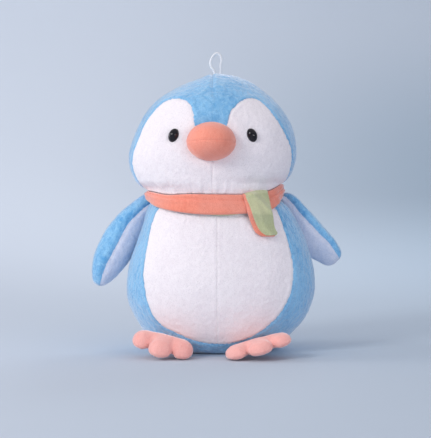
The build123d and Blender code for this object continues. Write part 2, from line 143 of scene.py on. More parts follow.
def distance_to(points, line, chunk=4000):
    """Least distance from each point to a dense polyline (as points)."""
    out = np.empty(len(points))
    for i in range(0, len(points), chunk):
        d = points[i:i + chunk, None, :] - line[None, :, :]
        out[i:i + chunk] = np.sqrt((d ** 2).sum(2).min(1))
    return out


def inside(poly, x, z):
    """Even-odd test of points against a closed polygon."""
    px, pz = poly[:, 0], poly[:, 1]
    qx, qz = np.roll(px, -1), np.roll(pz, -1)
    hit = np.zeros(len(x), bool)
    for a, b, c, d in zip(px, pz, qx, qz):
        if b != d:
            cross = ((b > z) != (d > z)) & (x < (c - a) * (z - b) / (d - b) + a)
            hit ^= cross
    return hit


def cut(v, t, f):
    """Cuts a triangle mesh where f changes sign. v is (N, k) with any attributes; returns v, triangles where f > 0, triangles where f < 0."""
    f = f.copy()
    edges = np.concatenate([t[:, [0, 1]], t[:, [1, 2]], t[:, [2, 0]]])
    fa, fb = f[edges[:, 0]], f[edges[:, 1]]
    near = np.abs(fa) < 0.12 * np.abs(fa - fb)
    f[edges[near & (fa * fb < 0), 0]] = 0
    fa, fb = f[edges[:, 0]], f[edges[:, 1]]
    near = np.abs(fb) < 0.12 * np.abs(fa - fb)
    f[edges[near & (fa * fb < 0), 1]] = 0
    s = np.sign(f[t])
    pos = t[(s >= 0).all(1) & (s.sum(1) > 0)]
    neg = t[(s <= 0).all(1) & (s.sum(1) < 0)]
    flat = t[(s == 0).all(1)]
    mixed = t[(s.min(1) < 0) & (s.max(1) > 0)]
    extra, made = [], {}

    def mid(a, b):
        key = (min(a, b), max(a, b))
        if key not in made:
            w = f[a] / (f[a] - f[b])
            made[key] = len(v) + len(extra)
            extra.append(v[a] * (1 - w) + v[b] * w)
        return made[key]

    p_new, n_new = [], []
    for tri in mixed:
        tri = list(tri)
        zeros = [k for k in range(3) if f[tri[k]] == 0]
        if zeros:
            k = zeros[0]
            o, a, b = tri[k], tri[(k + 1) % 3], tri[(k + 2) % 3]
            m = mid(a, b)
            (p_new if f[a] > 0 else n_new).append((o, a, m))
            (p_new if f[b] > 0 else n_new).append((o, m, b))
        else:
            sg = [f[x] > 0 for x in tri]
            k = next(k for k in range(3) if sg[k] != sg[(k + 1) % 3] and sg[k] != sg[(k + 2) % 3])
            o, a, b = tri[k], tri[(k + 1) % 3], tri[(k + 2) % 3]
            ma, mb = mid(o, a), mid(o, b)
            (p_new if sg[k] else n_new).append((o, ma, mb))
            other = n_new if sg[k] else p_new
            other.append((ma, a, b))
            other.append((ma, b, mb))
    if extra:
        v = np.vstack([v, np.array(extra)])
    pos = np.vstack([pos, flat] + ([np.array(p_new)] if p_new else []))
    if n_new:
        neg = np.vstack([neg, np.array(n_new)])
    return v, pos.astype(int), neg.astype(int)


def compress(v, t):
    used = np.unique(t)
    where = np.full(len(v), -1)
    where[used] = np.arange(len(used))
    return v[used], where[t]


def vertex_normals(v, t):
    n = np.zeros_like(v)
    face = np.cross(v[t[:, 1]] - v[t[:, 0]], v[t[:, 2]] - v[t[:, 0]])
    for k in range(3):
        np.add.at(n, t[:, k], face)
    return n / np.maximum(np.linalg.norm(n, axis=1, keepdims=True), 1e-12)


def boundary_loops(t):
    e = np.concatenate([t[:, [0, 1]], t[:, [1, 2]], t[:, [2, 0]]])
    key = np.sort(e, axis=1)
    _, first, count = np.unique(key[:, 0] * (t.max() + 1) + key[:, 1], return_index=True, return_counts=True)
    return e[first[count == 1]]


def hem(v, t, normals, depth=2.2):
    """Turns the open edge of a panel inwards, as a sewn seam allowance is."""
    e = boundary_loops(t)
    ids = np.unique(e)
    where = {int(i): len(v) + k for k, i in enumerate(ids)}
    v2 = np.vstack([v, v[ids] - normals[ids] * depth])
    quads = [[int(b), int(a), where[int(a)], where[int(b)]] for a, b in e]
    return v2, quads


def lathe(prof, spacing, cap_low=True, cap_high=True):
    """prof: (z, left, right, depth_front, depth_back, cy) rows from bottom to top. Returns base points and triangles.
    """
    p = np.asarray(prof, float)
    t = np.concatenate([[0], np.cumsum(np.hypot(np.diff(p[:, 0]), np.diff((p[:, 2] - p[:, 1]) / 2)))])
    fs = [spline(t, p[:, k]) for k in range(p.shape[1])]
    n_row = int(t[-1] / spacing)
    widest = ((p[:, 2] - p[:, 1]) / 2).max()
    n_turn = int(2 * math.pi * widest * 0.92 / spacing / 2) * 2
    s = np.linspace(0, t[-1], n_row + 1)
    z, left, right, df, db, cy = (f(s)[:, None] for f in fs)
    a = (np.arange(n_turn) / n_turn * 2 * math.pi)[None, :]
    sx, cx = np.sin(a), np.cos(a)
    mid, half = (left + right) / 2, np.maximum((right - left) / 2, 0.02)
    x = mid + half * sx
    y = cy - np.where(cx > 0, df, db) * cx
    zz = z + 0 * a
    pts = np.stack([x, y, zz], axis=2).reshape(-1, 3)
    tris = []
    i = np.arange(n_row)[:, None] * n_turn
    j = np.arange(n_turn)[None, :]
    k = (j + 1) % n_turn
    a0, a1, b0, b1 = (i + j).ravel(), (i + k).ravel(), (i + n_turn + j).ravel(), (i + n_turn + k).ravel()
    tris.append(np.stack([a0, a1, b1], 1))
    tris.append(np.stack([a0, b1, b0], 1))
    if cap_low:
        pts = np.vstack([pts, [[float(mid[0, 0]), float(cy[0, 0]), float(z[0, 0])]]])
        c = len(pts) - 1
        tris.append(np.stack([np.full(n_turn, c), k.ravel(), j.ravel()], 1))
    if cap_high:
        pts = np.vstack([pts, [[float(mid[-1, 0]), float(cy[-1, 0]), float(z[-1, 0])]]])
        c = len(pts) - 1
        top = n_row * n_turn
        tris.append(np.stack([np.full(n_turn, c), top + j.ravel(), top + k.ravel()], 1))
    return pts, np.vstack(tris)


def make_mesh(name, v_mm, faces, smooth_shade=True):
    mesh = bpy.data.meshes.new(name)
    faces = [list(map(int, f)) for f in faces]
    mesh.from_pydata((np.asarray(v_mm) * 0.001).tolist(), [], faces)
    mesh.update()
    ob = bpy.data.objects.new(name, mesh)
    scene.collection.objects.link(ob)
    if smooth_shade:
        mesh.shade_smooth()
    return ob


# ------------------------------------------------------------------ materials
def new_material(name):
    m = bpy.data.materials.new(name)
    m.use_nodes = True
    m.node_tree.nodes.clear()
    return m, m.node_tree.nodes, m.node_tree.links


def nap_material(name, tip, root, blotch, sheen, sheen_tint, sheen_rough, rough, fibre=1500.0, streak=0.4,
                 bump=0.55, tuft=260.0, tuft_bump=0.5, subsurface=0.0):
    """Napped cloth: fibre streaks, tufts and soft blotches in colour and relief, with a cloth sheen."""
    m, nodes, links = new_material(name)
    out = nodes.new("ShaderNodeOutputMaterial")
    bsdf = nodes.new("ShaderNodeBsdfPrincipled")
    links.new(bsdf.outputs[0], out.inputs[0])
    coord = nodes.new("ShaderNodeTexCoord")
    stretch = nodes.new("ShaderNodeMapping")
    stretch.inputs["Scale"].default_value = (1.0, 1.0, streak)
    links.new(coord.outputs["Object"], stretch.inputs["Vector"])
    fine = nodes.new("ShaderNodeTexNoise")
    fine.inputs["Scale"].default_value = fibre
    fine.inputs["Detail"].default_value = 2.0
    fine.inputs["Roughness"].default_value = 0.6
    links.new(stretch.outputs[0], fine.inputs["Vector"])
    tufts = nodes.new("ShaderNodeTexNoise")
    tufts.inputs["Scale"].default_value = tuft
    tufts.inputs["Detail"].default_value = 3.0
    tufts.inputs["Roughness"].default_value = 0.55
    tufts.inputs["Distortion"].default_value = 0.8
    links.new(stretch.outputs[0], tufts.inputs["Vector"])
    soft = nodes.new("ShaderNodeTexNoise")
    soft.inputs["Scale"].default_value = 24.0
    soft.inputs["Detail"].default_value = 2.0
    links.new(coord.outputs["Object"], soft.inputs["Vector"])

    def mix(a, b, fac, mode="MIX"):
        n = nodes.new("ShaderNodeMix")
        n.data_type = "RGBA"
        n.blend_type = mode
        for sock, val in ((n.inputs["A"], a), (n.inputs["B"], b), (n.inputs["Factor"], fac)):
            if isinstance(val, (tuple, list)):
                sock.default_value = (*val, 1.0)
            elif isinstance(val, float):
                sock.default_value = val
            else:
                links.new(val, sock)
        return n.outputs["Result"]

    def ramp(src, lo, hi):
        n = nodes.new("ShaderNodeMapRange")
        n.inputs["From Min"].default_value = lo
        n.inputs["From Max"].default_value = hi
        links.new(src, n.inputs["Value"])
        return n.outputs["Result"]

    c = mix(root, tip, ramp(tufts.outputs["Fac"], 0.30, 0.62))
    c = mix(c, blotch, ramp(soft.outputs["Fac"], 0.42, 0.78))
    darker = tuple(x * 0.80 for x in root)
    c = mix(darker, c, ramp(fine.outputs["Fac"], 0.22, 0.50))
    links.new(c, bsdf.inputs["Base Color"])
    b1 = nodes.new("ShaderNodeBump")
    b1.inputs["Strength"].default_value = tuft_bump
    b1.inputs["Distance"].default_value = 0.0012
    links.new(tufts.outputs["Fac"], b1.inputs["Height"])
    b2 = nodes.new("ShaderNodeBump")
    b2.inputs["Strength"].default_value = bump
    b2.inputs["Distance"].default_value = 0.0005
    links.new(fine.outputs["Fac"], b2.inputs["Height"])
    links.new(b1.outputs[0], b2.inputs["Normal"])
    links.new(b2.outputs[0], bsdf.inputs["Normal"])
    r = nodes.new("ShaderNodeMapRange")
    r.inputs["To Min"].default_value = rough - 0.08
    r.inputs["To Max"].default_value = rough + 0.06
    links.new(fine.outputs["Fac"], r.inputs["Value"])
    links.new(r.outputs[0], bsdf.inputs["Roughness"])
    bsdf.inputs["Specular IOR Level"].default_value = 0.12
    bsdf.inputs["Sheen Weight"].default_value = sheen
    bsdf.inputs["Sheen Roughness"].default_value = sheen_rough
    bsdf.inputs["Sheen Tint"].default_value = (*sheen_tint, 1.0)
    if subsurface:
        bsdf.inputs["Subsurface Weight"].default_value = subsurface
        bsdf.inputs["Subsurface Radius"].default_value = (0.004, 0.003, 0.003)
        bsdf.inputs["Subsurface Scale"].default_value = 1.0
    return m


MAT_BLUE = nap_material("blue_plush", tip=(0.285, 0.580, 0.850), root=(0.105, 0.375, 0.700), blotch=(0.31, 0.60, 0.86),
                        sheen=1.0, sheen_tint=(1.0, 0.97, 1.0), sheen_rough=0.46, rough=0.88, streak=0.85,
                        tuft=230.0, tuft_bump=0.8)
MAT_WHITE = nap_material("white_plush", tip=(0.935, 0.872, 0.895), root=(0.875, 0.805, 0.835), blotch=(0.945, 0.885, 0.905),
                         sheen=0.30, sheen_tint=(1.0, 0.98, 1.0), sheen_rough=0.5, rough=0.9, streak=0.7,
                         tuft_bump=0.40, bump=0.25)
MAT_PALE = nap_material("pale_plush", tip=(0.70, 0.74, 0.87), root=(0.56, 0.63, 0.80), blotch=(0.74, 0.75, 0.86),
                        sheen=0.5, sheen_tint=(0.95, 0.96, 1.0), sheen_rough=0.45, rough=0.9, streak=0.7,
                        tuft_bump=0.45)
MAT_CORAL = nap_material("coral_velvet", tip=(0.96, 0.350, 0.250), root=(0.93, 0.290, 0.200), blotch=(0.97, 0.39, 0.30),
                         sheen=0.5, sheen_tint=(1.0, 0.84, 0.82), sheen_rough=0.42, rough=0.8, fibre=2600.0,
                         tuft=420.0, tuft_bump=0.12, bump=0.2)
MAT_FOOT = nap_material("coral_velvet_feet", tip=(0.97, 0.480, 0.430), root=(0.93, 0.410, 0.360), blotch=(0.97, 0.53, 0.48),
                        sheen=0.9, sheen_tint=(1.0, 0.88, 0.87), sheen_rough=0.45, rough=0.8, fibre=2600.0,
                        tuft=420.0, tuft_bump=0.12, bump=0.2)
MAT_SCARF = nap_material("scarf_coral", tip=(0.93, 0.310, 0.215), root=(0.86, 0.240, 0.160), blotch=(0.94, 0.38, 0.29),
                         sheen=1.0, sheen_tint=(1.0, 0.92, 0.92), sheen_rough=0.40, rough=0.82, fibre=2400.0,
                         tuft=380.0, tuft_bump=0.2, bump=0.3)
MAT_GREEN = nap_material("scarf_green", tip=(0.56, 0.585, 0.35), root=(0.47, 0.50, 0.27), blotch=(0.64, 0.63, 0.40),
                         sheen=0.55, sheen_tint=(1.0, 1.0, 0.90), sheen_rough=0.45, rough=0.82, fibre=2400.0,
                         tuft=380.0, tuft_bump=0.2, bump=0.3)
MAT_FILL = nap_material("stuffing", tip=(0.86, 0.86, 0.86), root=(0.74, 0.74, 0.75), blotch=(0.9, 0.9, 0.9),
                        sheen=0.3, sheen_tint=(1, 1, 1), sheen_rough=0.5, rough=0.95, fibre=500.0, tuft=120.0)


def gloss_black():
    m, nodes, links = new_material("eye_black")
    out = nodes.new("ShaderNodeOutputMaterial")
    bsdf = nodes.new("ShaderNodeBsdfPrincipled")
    links.new(bsdf.outputs[0], out.inputs[0])
    coord = nodes.new("ShaderNodeTexCoord")
    n = nodes.new("ShaderNodeTexNoise")
    n.inputs["Scale"].default_value = 320.0
    n.inputs["Detail"].default_value = 3.0
    links.new(coord.outputs["Object"], n.inputs["Vector"])
    r = nodes.new("ShaderNodeMapRange")
    r.inputs["To Min"].default_value = 0.05
    r.inputs["To Max"].default_value = 0.09
    links.new(n.outputs["Fac"], r.inputs["Value"])
    links.new(r.outputs[0], bsdf.inputs["Roughness"])
    c = nodes.new("ShaderNodeMix")
    c.data_type = "RGBA"
    c.inputs["A"].default_value = (0.006, 0.006, 0.010, 1)
    c.inputs["B"].default_value = (0.014, 0.013, 0.018, 1)
    links.new(n.outputs["Fac"], c.inputs["Factor"])
    links.new(c.outputs["Result"], bsdf.inputs["Base Color"])
    bsdf.inputs["Specular IOR Level"].default_value = 0.32
    return m


def plain_plastic(name, colour):
    m, nodes, links = new_material(name)
    out = nodes.new("ShaderNodeOutputMaterial")
    bsdf = nodes.new("ShaderNodeBsdfPrincipled")
    links.new(bsdf.outputs[0], out.inputs[0])
    coord = nodes.new("ShaderNodeTexCoord")
    n = nodes.new("ShaderNodeTexNoise")
    n.inputs["Scale"].default_value = 180.0
    links.new(coord.outputs["Object"], n.inputs["Vector"])
    c = nodes.new("ShaderNodeMix")
    c.data_type = "RGBA"
    c.inputs["A"].default_value = (*[x * 0.9 for x in colour], 1)
    c.inputs["B"].default_value = (*colour, 1)
    links.new(n.outputs["Fac"], c.inputs["Factor"])
    links.new(c.outputs["Result"], bsdf.inputs["Base Color"])
    bsdf.inputs["Roughness"].default_value = 0.45
    return m


def braid_material():
    m, nodes, links = new_material("loop_cord")
    out = nodes.new("ShaderNodeOutputMaterial")
    bsdf = nodes.new("ShaderNodeBsdfPrincipled")
    links.new(bsdf.outputs[0], out.inputs[0])
    coord = nodes.new("ShaderNodeTexCoord")
    w = nodes.new("ShaderNodeTexWave")
    w.wave_type = "BANDS"
    w.bands_direction = "DIAGONAL"
    w.inputs["Scale"].default_value = 420.0
    w.inputs["Distortion"].default_value = 1.2
    links.new(coord.outputs["Object"], w.inputs["Vector"])
    c = nodes.new("ShaderNodeMix")
    c.data_type = "RGBA"
    c.inputs["A"].default_value = (0.70, 0.72, 0.76, 1)
    c.inputs["B"].default_value = (0.93, 0.93, 0.95, 1)
    links.new(w.outputs["Fac"], c.inputs["Factor"])
    links.new(c.outputs["Result"], bsdf.inputs["Base Color"])
    b = nodes.new("ShaderNodeBump")
    b.inputs["Strength"].default_value = 0.6
    b.inputs["Distance"].default_value = 0.0003
    links.new(w.outputs["Fac"], b.inputs["Height"])
    links.new(b.outputs[0], bsdf.inputs["Normal"])
    bsdf.inputs["Roughness"].default_value = 0.65
    bsdf.inputs["Sheen Weight"].default_value = 0.3
    return m


MAT_EYE = gloss_black()
MAT_WASHER = plain_plastic("washer_plastic", (0.80, 0.80, 0.78))
MAT_LOOP = braid_material()


# ------------------------------------------------------------------ the smooth forms, mm
BODY = [  # z, left, right, depth in front, depth behind
    (0.0, -41.0, 49.0, 37.0, 37.0), (1.2, -46.5, 54.5, 41.0, 41.0), (4.5, -53.5, 60.5, 46.0, 46.0),
    (9.5, -61.5, 67.5, 51.5, 50.5), (18.0, -70.5, 76.0, 60.0, 58.0), (30.6, -79.5, 86.5, 67.5, 65.5),
    (47.3, -87.3, 94.5, 73.0, 71.0), (64.0, -89.5, 97.6, 75.0, 73.0), (81.0, -87.5, 96.5, 73.5, 72.0),
    (97.6, -82.5, 92.2, 70.5, 69.0), (117.2, -75.5, 85.2, 66.5, 65.5), (129.5, -71.4, 79.0, 63.5, 63.0),
    (141.0, -68.2, 72.5, 60.5, 60.5), (147.5, -64.0, 64.5, 57.5, 57.5), (150.2, -58.0, 57.5, 53.0, 53.0),
]
HEAD = [
    (151.4, -55.0, 50.5, 50.5, 48.5), (153.6, -60.0, 54.5, 57.4, 53.0), (156.2, -63.2, 56.8, 61.6, 56.4),
    (158.8, -66.6, 58.6, 63.4, 58.6), (164.4, -76.4, 62.6, 65.2, 61.2), (170.5, -81.6, 71.4, 66.6, 64.8),
    (179.0, -85.4, 76.6, 68.0, 67.6),
    (189.0, -87.2, 79.2, 69.0, 69.0), (197.5, -86.6, 79.6, 69.0, 69.3), (207.0, -83.8, 78.9, 68.4, 68.8),
    (216.0, -80.2, 77.0, 67.0, 67.6), (225.0, -75.8, 73.4, 64.6, 65.4), (234.0, -70.8, 68.0, 61.2, 62.2),
    (242.5, -64.6, 61.4, 56.8, 57.8), (250.0, -56.4, 54.4, 51.2, 52.2), (257.0, -46.0, 46.8, 44.4, 45.4),
    (263.2, -34.6, 38.6, 36.6, 37.2), (268.4, -22.6, 29.0, 27.4, 27.8), (271.6, -12.6, 20.2, 18.6, 18.8),
    (273.4, -4.4, 10.6, 9.2, 9.2), (273.9, 2.6, 3.4, 0.6, 0.6),
]
BODY = [(z, l, r, f, b, AXIS_Y) for z, l, r, f, b in BODY]
HEAD = [(z, l, r, f, b, AXIS_Y) for z, l, r, f, b in HEAD]


def form_functions(prof):
    p = np.asarray(prof, float)
    z = p[:, 0]
    return [spline(z, p[:, k]) for k in range(1, 5)]


BODY_F, HEAD_F = form_functions(BODY), form_functions(HEAD)


def front_y(funcs, x, z, out=0.0):
    """y of the smooth form's front at (x, z)."""
    left, right, df, _ = (f(z) for f in funcs)
    mid, half = (left + right) / 2, (right - left) / 2 + out
    u = np.clip((x - mid) / half, -1, 1)
    return AXIS_Y - (df + out) * np.sqrt(np.maximum(0, 1 - u * u))


FACE_LEFT = [(-13.0, 212.0), (-20.2, 218.2), (-22.4, 232.2), (-27.1, 241.0), (-36.8, 245.3), (-46.2, 244.9),
             (-54.5, 240.5), (-62.9, 232.6), (-70.3, 222.1), (-76.2, 209.6), (-81.1, 196.7), (-82.8, 184.0),
             (-80.6, 175.0), (-76.2, 166.4), (-69.6, 158.8), (-63.0, 153.0)]
FACE_RIGHT = [(4.0, 212.0), (9.8, 219.1), (11.8, 227.3), (16.5, 235.9), (25.3, 243.3), (34.1, 246.0),
              (42.4, 243.6), (49.3, 236.5), (56.1, 227.6), (63.3, 216.8), (69.4, 205.6), (73.1, 196.7),
              (73.8, 186.7), (71.9, 176.0), (67.5, 166.5), (61.5, 158.5)]
BELLY = [(-54.0, 144.0), (-59.5, 133.9), (-64.9, 117.6), (-68.6, 98.8), (-70.2, 77.6), (-68.1, 59.3), (-63.2, 43.0),
         (-54.9, 31.0), (-35.9, 20.2), (-20.0, 14.0), (0.5, 11.2), (22.3, 14.2), (40.0, 22.2), (55.0, 34.4),
         (65.5, 48.9), (71.8, 64.6), (73.3, 83.2), (70.9, 99.0), (65.8, 117.7), (58.5, 136.7), (53.0, 145.0)]
HEAD_SEAM_X, BELLY_SEAM_X, BACK_SEAM_X = -4.0, 0.5, 2.0


def lifted(line, funcs):
    """A seam drawn in front view, laid on the form's front."""
    c = curve_through(line, 1.0)
    return np.stack([c[:, 0], front_y(funcs, c[:, 0], c[:, 1]), c[:, 1]], axis=1)


def pile(p, amount=1.0):
    """Relief of the plush pile: lumps of filling, brushed tufts and finer locks."""
    q = p * (1, 1, 0.8)
    return amount * (1.15 * fbm(p / 52.0 + 3.1, 2) + 0.42 * perlin(p / 17.0 + 9.0)
                     + 0.34 * perlin(q / 4.6 + 31.0) + 0.30 * perlin(q / 2.5 + 57.0))


def seam_relief(d, depth, width, puff=0.5):
    return -depth * bell(d, width) + puff * bell(d - 2.6 * width, 1.7 * width)


def panel(name, v, t, material, slot_name, nodes, body, hem_depth=2.2, normals=None, bend=None):
    v, faces = np.asarray(v), [tuple(map(int, f)) for f in t]
    n = vertex_normals(v, np.asarray(t)) if normals is None else normals
    v, quads = hem(v, np.asarray(t), n, hem_depth)
    ob = make_mesh(name, v, faces + quads)
    ob.data.materials.append(material)
    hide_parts(*nodes)
    if bend:
        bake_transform(ob)
    else:
        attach(ob, body)
    return ob


# ------------------------------------------------------------------ body skin
pts, tris = lathe(BODY, GRAIN)
base_n = vertex_normals(pts, tris)
belly_line = lifted(BELLY, BODY_F)
belly_poly = np.vstack([curve_through(BELLY, 1.5), [(51.0, 165.0), (-52.0, 165.0)]])


def ragged(p, size=1.0):
    """How far the pile of one colour strays over a seam."""
    return size * (1.0 * perlin(p * (1, 1, 0.8) / 2.0 + 5.0) + 0.65 * perlin(p / 5.0 + 15.0))


d_belly = distance_to(pts, belly_line)
in_belly = inside(belly_poly, pts[:, 0], pts[:, 2]) & (pts[:, 1] < AXIS_Y - 6)
f_belly = np.where(in_belly, d_belly, -d_belly)
near = np.abs(f_belly) < 12
f_belly[near] += ragged(pts[near])
attr = np.hstack([pts, base_n, d_belly[:, None]])
attr, white, blue = cut(attr, tris, f_belly)


def body_relief(p, n, d_edge, is_white):
    h = pile(p, 0.75 if is_white else 1.0)
    h += seam_relief(d_edge, 0.5 if is_white else 0.2, 1.2, 0.3)
    front = p[:, 1] < AXIS_Y
    if is_white:
        h += seam_relief(np.abs(p[:, 0] - BELLY_SEAM_X), 0.40, 0.9, 0.15)
    else:
        h += seam_relief(np.abs(p[:, 0] - BACK_SEAM_X) + np.where(front, 60, 0), 0.8, 1.6, 0.5)
        h += 0.25
    # gathers where the neck is drawn in under the scarf
    turn = np.arctan2(p[:, 0] - 2, AXIS_Y - p[:, 1])
    gather = perlin(np.stack([np.cos(turn) * 9, np.sin(turn) * 9, p[:, 2] * 0 + 3], 1))
    h += 0.9 * gather * smooth(128, 146, p[:, 2])
    h *= smooth(-0.5, 5.0, p[:, 2])
    h -= 0.0 * n[:, 2]
    return h


def body_panel(name, t, x_seam, keep_right, is_white, material, slot_name, nodes):
    f = attr[:, 0] - x_seam
    a2, pos, neg = cut(attr, t, f)
    a3, t3 = compress(a2, pos if keep_right else neg)
    p, n, d = a3[:, :3], a3[:, 3:6], a3[:, 6]
    n = n / np.linalg.norm(n, axis=1, keepdims=True)
    v = p + n * body_relief(p, n, d, is_white)[:, None]
    v[:, 2] = np.maximum(v[:, 2], 0.0)
    ob = panel(name, v, t3, material, slot_name, nodes, "torso", normals=n)
    return ob


body_panel("belly_plush_left", white, BELLY_SEAM_X, False, True, MAT_WHITE, "white_plush", ["belly_panel_left"])
body_panel("belly_plush_right", white, BELLY_SEAM_X, True, True, MAT_WHITE, "white_plush", ["belly_panel_right"])

# the sewn disc underneath
base_f = 1.0 - np.hypot((attr[:, 0] - 4.0) / 41.0, (attr[:, 1] - AXIS_Y) / 33.0)
base_f = np.where(attr[:, 2] < 3.0, base_f, -1.0)
attr, disc, blue = cut(attr, blue, base_f)
a3, t3 = compress(attr, disc)
v = a3[:, :3].copy()
r = np.hypot((v[:, 0] - 4.0) / 41.0, (v[:, 1] - AXIS_Y) / 33.0)
v[:, 2] = 0.5 * smooth(0.90, 1.0, r)
ob = panel("base_disc", v, t3, MAT_BLUE, "blue_plush", ["base_panel"], "torso",
           normals=np.tile([0, 0, -1.0], (len(v), 1)))
body_panel("back_plush_left", blue, BACK_SEAM_X, False, False, MAT_BLUE, "blue_plush", ["back_panel_left"])
body_panel("back_plush_right", blue, BACK_SEAM_X, True, False, MAT_BLUE, "blue_plush", ["back_panel_right"])

# ------------------------------------------------------------------ head skin
pts, tris = lathe(HEAD, GRAIN)
base_n = vertex_normals(pts, tris)
left_line, right_line = lifted(FACE_LEFT, HEAD_F), lifted(FACE_RIGHT, HEAD_F)
left_poly = np.vstack([curve_through(FACE_LEFT, 1.5), [(-70.0, 140.0), (HEAD_SEAM_X, 140.0), (HEAD_SEAM_X, 208.0)]])
right_poly = np.vstack([curve_through(FACE_RIGHT, 1.5), [(60.0, 140.0), (HEAD_SEAM_X, 140.0), (HEAD_SEAM_X, 208.0)]])
d_face = distance_to(pts, np.vstack([left_line, right_line]))
front = pts[:, 1] < AXIS_Y + 1
in_face = (inside(left_poly, pts[:, 0], pts[:, 2]) | inside(right_poly, pts[:, 0], pts[:, 2])) & front
f_face = np.where(in_face, d_face, -d_face)
near = np.abs(f_face) < 12
f_face[near] += ragged(pts[near])
attr = np.hstack([pts, base_n, d_face[:, None]])
attr, white, blue = cut(attr, tris, f_face)

EYES = {"left": (-40.9, 209.0, -24.0, -20.0), "right": (33.7, 209.1, 24.0, 20.0)}
BEAK_X, BEAK_Z, BEAK_SEAM = -5.0, 202.6, 201.6


# edges of the band round the neck: angle (0 front, 90 right), z of lower edge, z of upper edge
BAND = [(-180, 147.0, 163.5), (-135, 147.5, 162.0), (-100, 149.5, 159.0), (-80, 149.0, 157.6), (-60, 143.0, 155.6),
        (-42, 138.6, 153.2), (-25, 135.6, 153.6), (-8, 134.0, 153.4), (8, 134.2, 153.2), (22, 135.2, 153.2),
        (40, 137.8, 154.6), (56, 143.6, 158.2), (75, 150.6, 163.4), (90, 154.0, 165.4), (120, 152.0, 165.5),
        (150, 148.5, 164.5), (180, 147.0, 163.5)]
_ba = np.array(BAND, float)
_bt = np.concatenate([_ba[:-1, 0] - 360, _ba[:, 0], _ba[1:, 0] + 360])
_bl = spline(_bt, np.concatenate([_ba[:-1, 1], _ba[:, 1], _ba[1:, 1]]))
_bh = spline(_bt, np.concatenate([_ba[:-1, 2], _ba[:, 2], _ba[1:, 2]]))
NECK = spline([128, 134, 140, 146, 152, 158, 168], [75.4, 73.6, 70.4, 66.8, 64.6, 64.0, 64.4])
NECK_D = spline([128, 134, 140, 146, 152, 158, 168], [66.4, 65.0, 62.8, 60.8, 59.6, 59.4, 60.0])
NECK_X = spline([128, 134, 140, 146, 152, 158, 168], [2.6, 2.4, 1.6, 0.0, -1.6, -2.0, -2.0])


def rest_on_scarf(v):
    """The head's lower edge goes down inside the scarf, and the plush above it rests on the scarf's upper edge."""
    v = v.copy()
    w, d, cx = NECK(v[:, 2]), NECK_D(v[:, 2]), NECK_X(v[:, 2])
    sx, sy = (v[:, 0] - cx) / w, (AXIS_Y - v[:, 1]) / d
    rho = np.maximum(np.hypot(sx, sy), 1e-6)
    top = _bh((np.degrees(np.arctan2(sx, sy)) + 180) % 360 - 180)
    dz = v[:, 2] - top
    gap = (rho - 1) * 62.5
    wave = 0.5 * perlin(v / 5.0 + 3.0) + 0.3 * perlin(v / 2.4)
    high = -0.5 + 7.5 * smooth(-0.5, 2.2, dz) + 60 * smooth(1.5, 12.0, dz)
    low = -30 + 32.3 * smooth(-2.2, 0.6, dz) + 0.9 * smooth(0.4, 6.0, dz) + 0.35 * wave - 12 * smooth(7.0, 22.0, dz)
    near_band = smooth(24.0, 14.0, dz)
    rounded = gap + 1.3 * np.logaddexp(0.0, (low - gap) / 1.3)
    new = np.minimum(rounded, high)
    new = gap + (new - gap) * near_band
    rho2 = 1 + new / 62.5
    v[:, 0] = cx + sx / rho * rho2 * w
    v[:, 1] = AXIS_Y - sy / rho * rho2 * d
    return v


def head_relief(p, n, d_edge, is_white):
    h = pile(p, 0.72 if is_white else 0.9)
    h += seam_relief(d_edge, 0.4 if is_white else 0.2, 1.2, 0.3)
    turn = np.arctan2(p[:, 0] - HEAD_SEAM_X, AXIS_Y - p[:, 1])
    gather = perlin(np.stack([np.cos(turn) * 8, np.sin(turn) * 8, p[:, 2] * 0.02], 1)) \
        + 0.6 * perlin(np.stack([np.cos(turn) * 19, np.sin(turn) * 19, p[:, 2] * 0.03 + 4], 1))
    h += 1.5 * gather * smooth(174, 157, p[:, 2])
    is_front = p[:, 1] < AXIS_Y
    if is_white:
        low = smooth(196, 180, p[:, 2])
        h += seam_relief(np.abs(p[:, 0] - HEAD_SEAM_X), 0.75, 1.0, 0.15) * low
        for x, z, _, _ in EYES.values():
            d = np.hypot(p[:, 0] - x, (p[:, 2] - z) * 0.9)
            h += -1.9 * bell(d, 8.0)
        # cheeks stand a little proud of the centre
        for cx, cz in ((-46.0, 186.0), (38.0, 186.0)):
            h += 1.0 * bell(np.hypot(p[:, 0] - cx, p[:, 2] - cz), 26.0)
    else:
        h += 0.25
        h += seam_relief(np.abs(p[:, 0] - HEAD_SEAM_X) + np.where(is_front, smooth(258, 246, p[:, 2]) * 30, 0), 0.7, 1.5, 0.5)
    # a shallow hollow the beak sits in
    d = np.hypot((p[:, 0] - BEAK_X) / 24.0, (p[:, 2] - BEAK_Z) / 19.0)
    h += np.where(is_front, -1.6 * bell(np.maximum(d - 0.8, 0), 0.35), 0)
    return h


def head_panel(name, t, keep_right, is_white, material, slot_name, nodes):
    a2, pos, neg = cut(attr, t, attr[:, 0] - HEAD_SEAM_X)
    a3, t3 = compress(a2, pos if keep_right else neg)
    p, n, d = a3[:, :3], a3[:, 3:6], a3[:, 6]
    n = n / np.linalg.norm(n, axis=1, keepdims=True)
    v = p + n * head_relief(p, n, d, is_white)[:, None]
    v = rest_on_scarf(v)
    ob = panel(name, v, t3, material, slot_name, nodes, "head", normals=n,
               bend=("torso", "head", (-0.002, 0.0103, 0.153), (-0.002, 0.0103, 0.186)))
    return ob


head_panel("face_plush_left", white, False, True, MAT_WHITE, "white_plush", ["face_panel_left"])
head_panel("face_plush_right", white, True, True, MAT_WHITE, "white_plush", ["face_panel_right"])
head_panel("crown_plush_left", blue, False, False, MAT_BLUE, "blue_plush", ["head_panel_left"])
head_panel("crown_plush_right", blue, True, False, MAT_BLUE, "blue_plush", ["head_panel_right"])


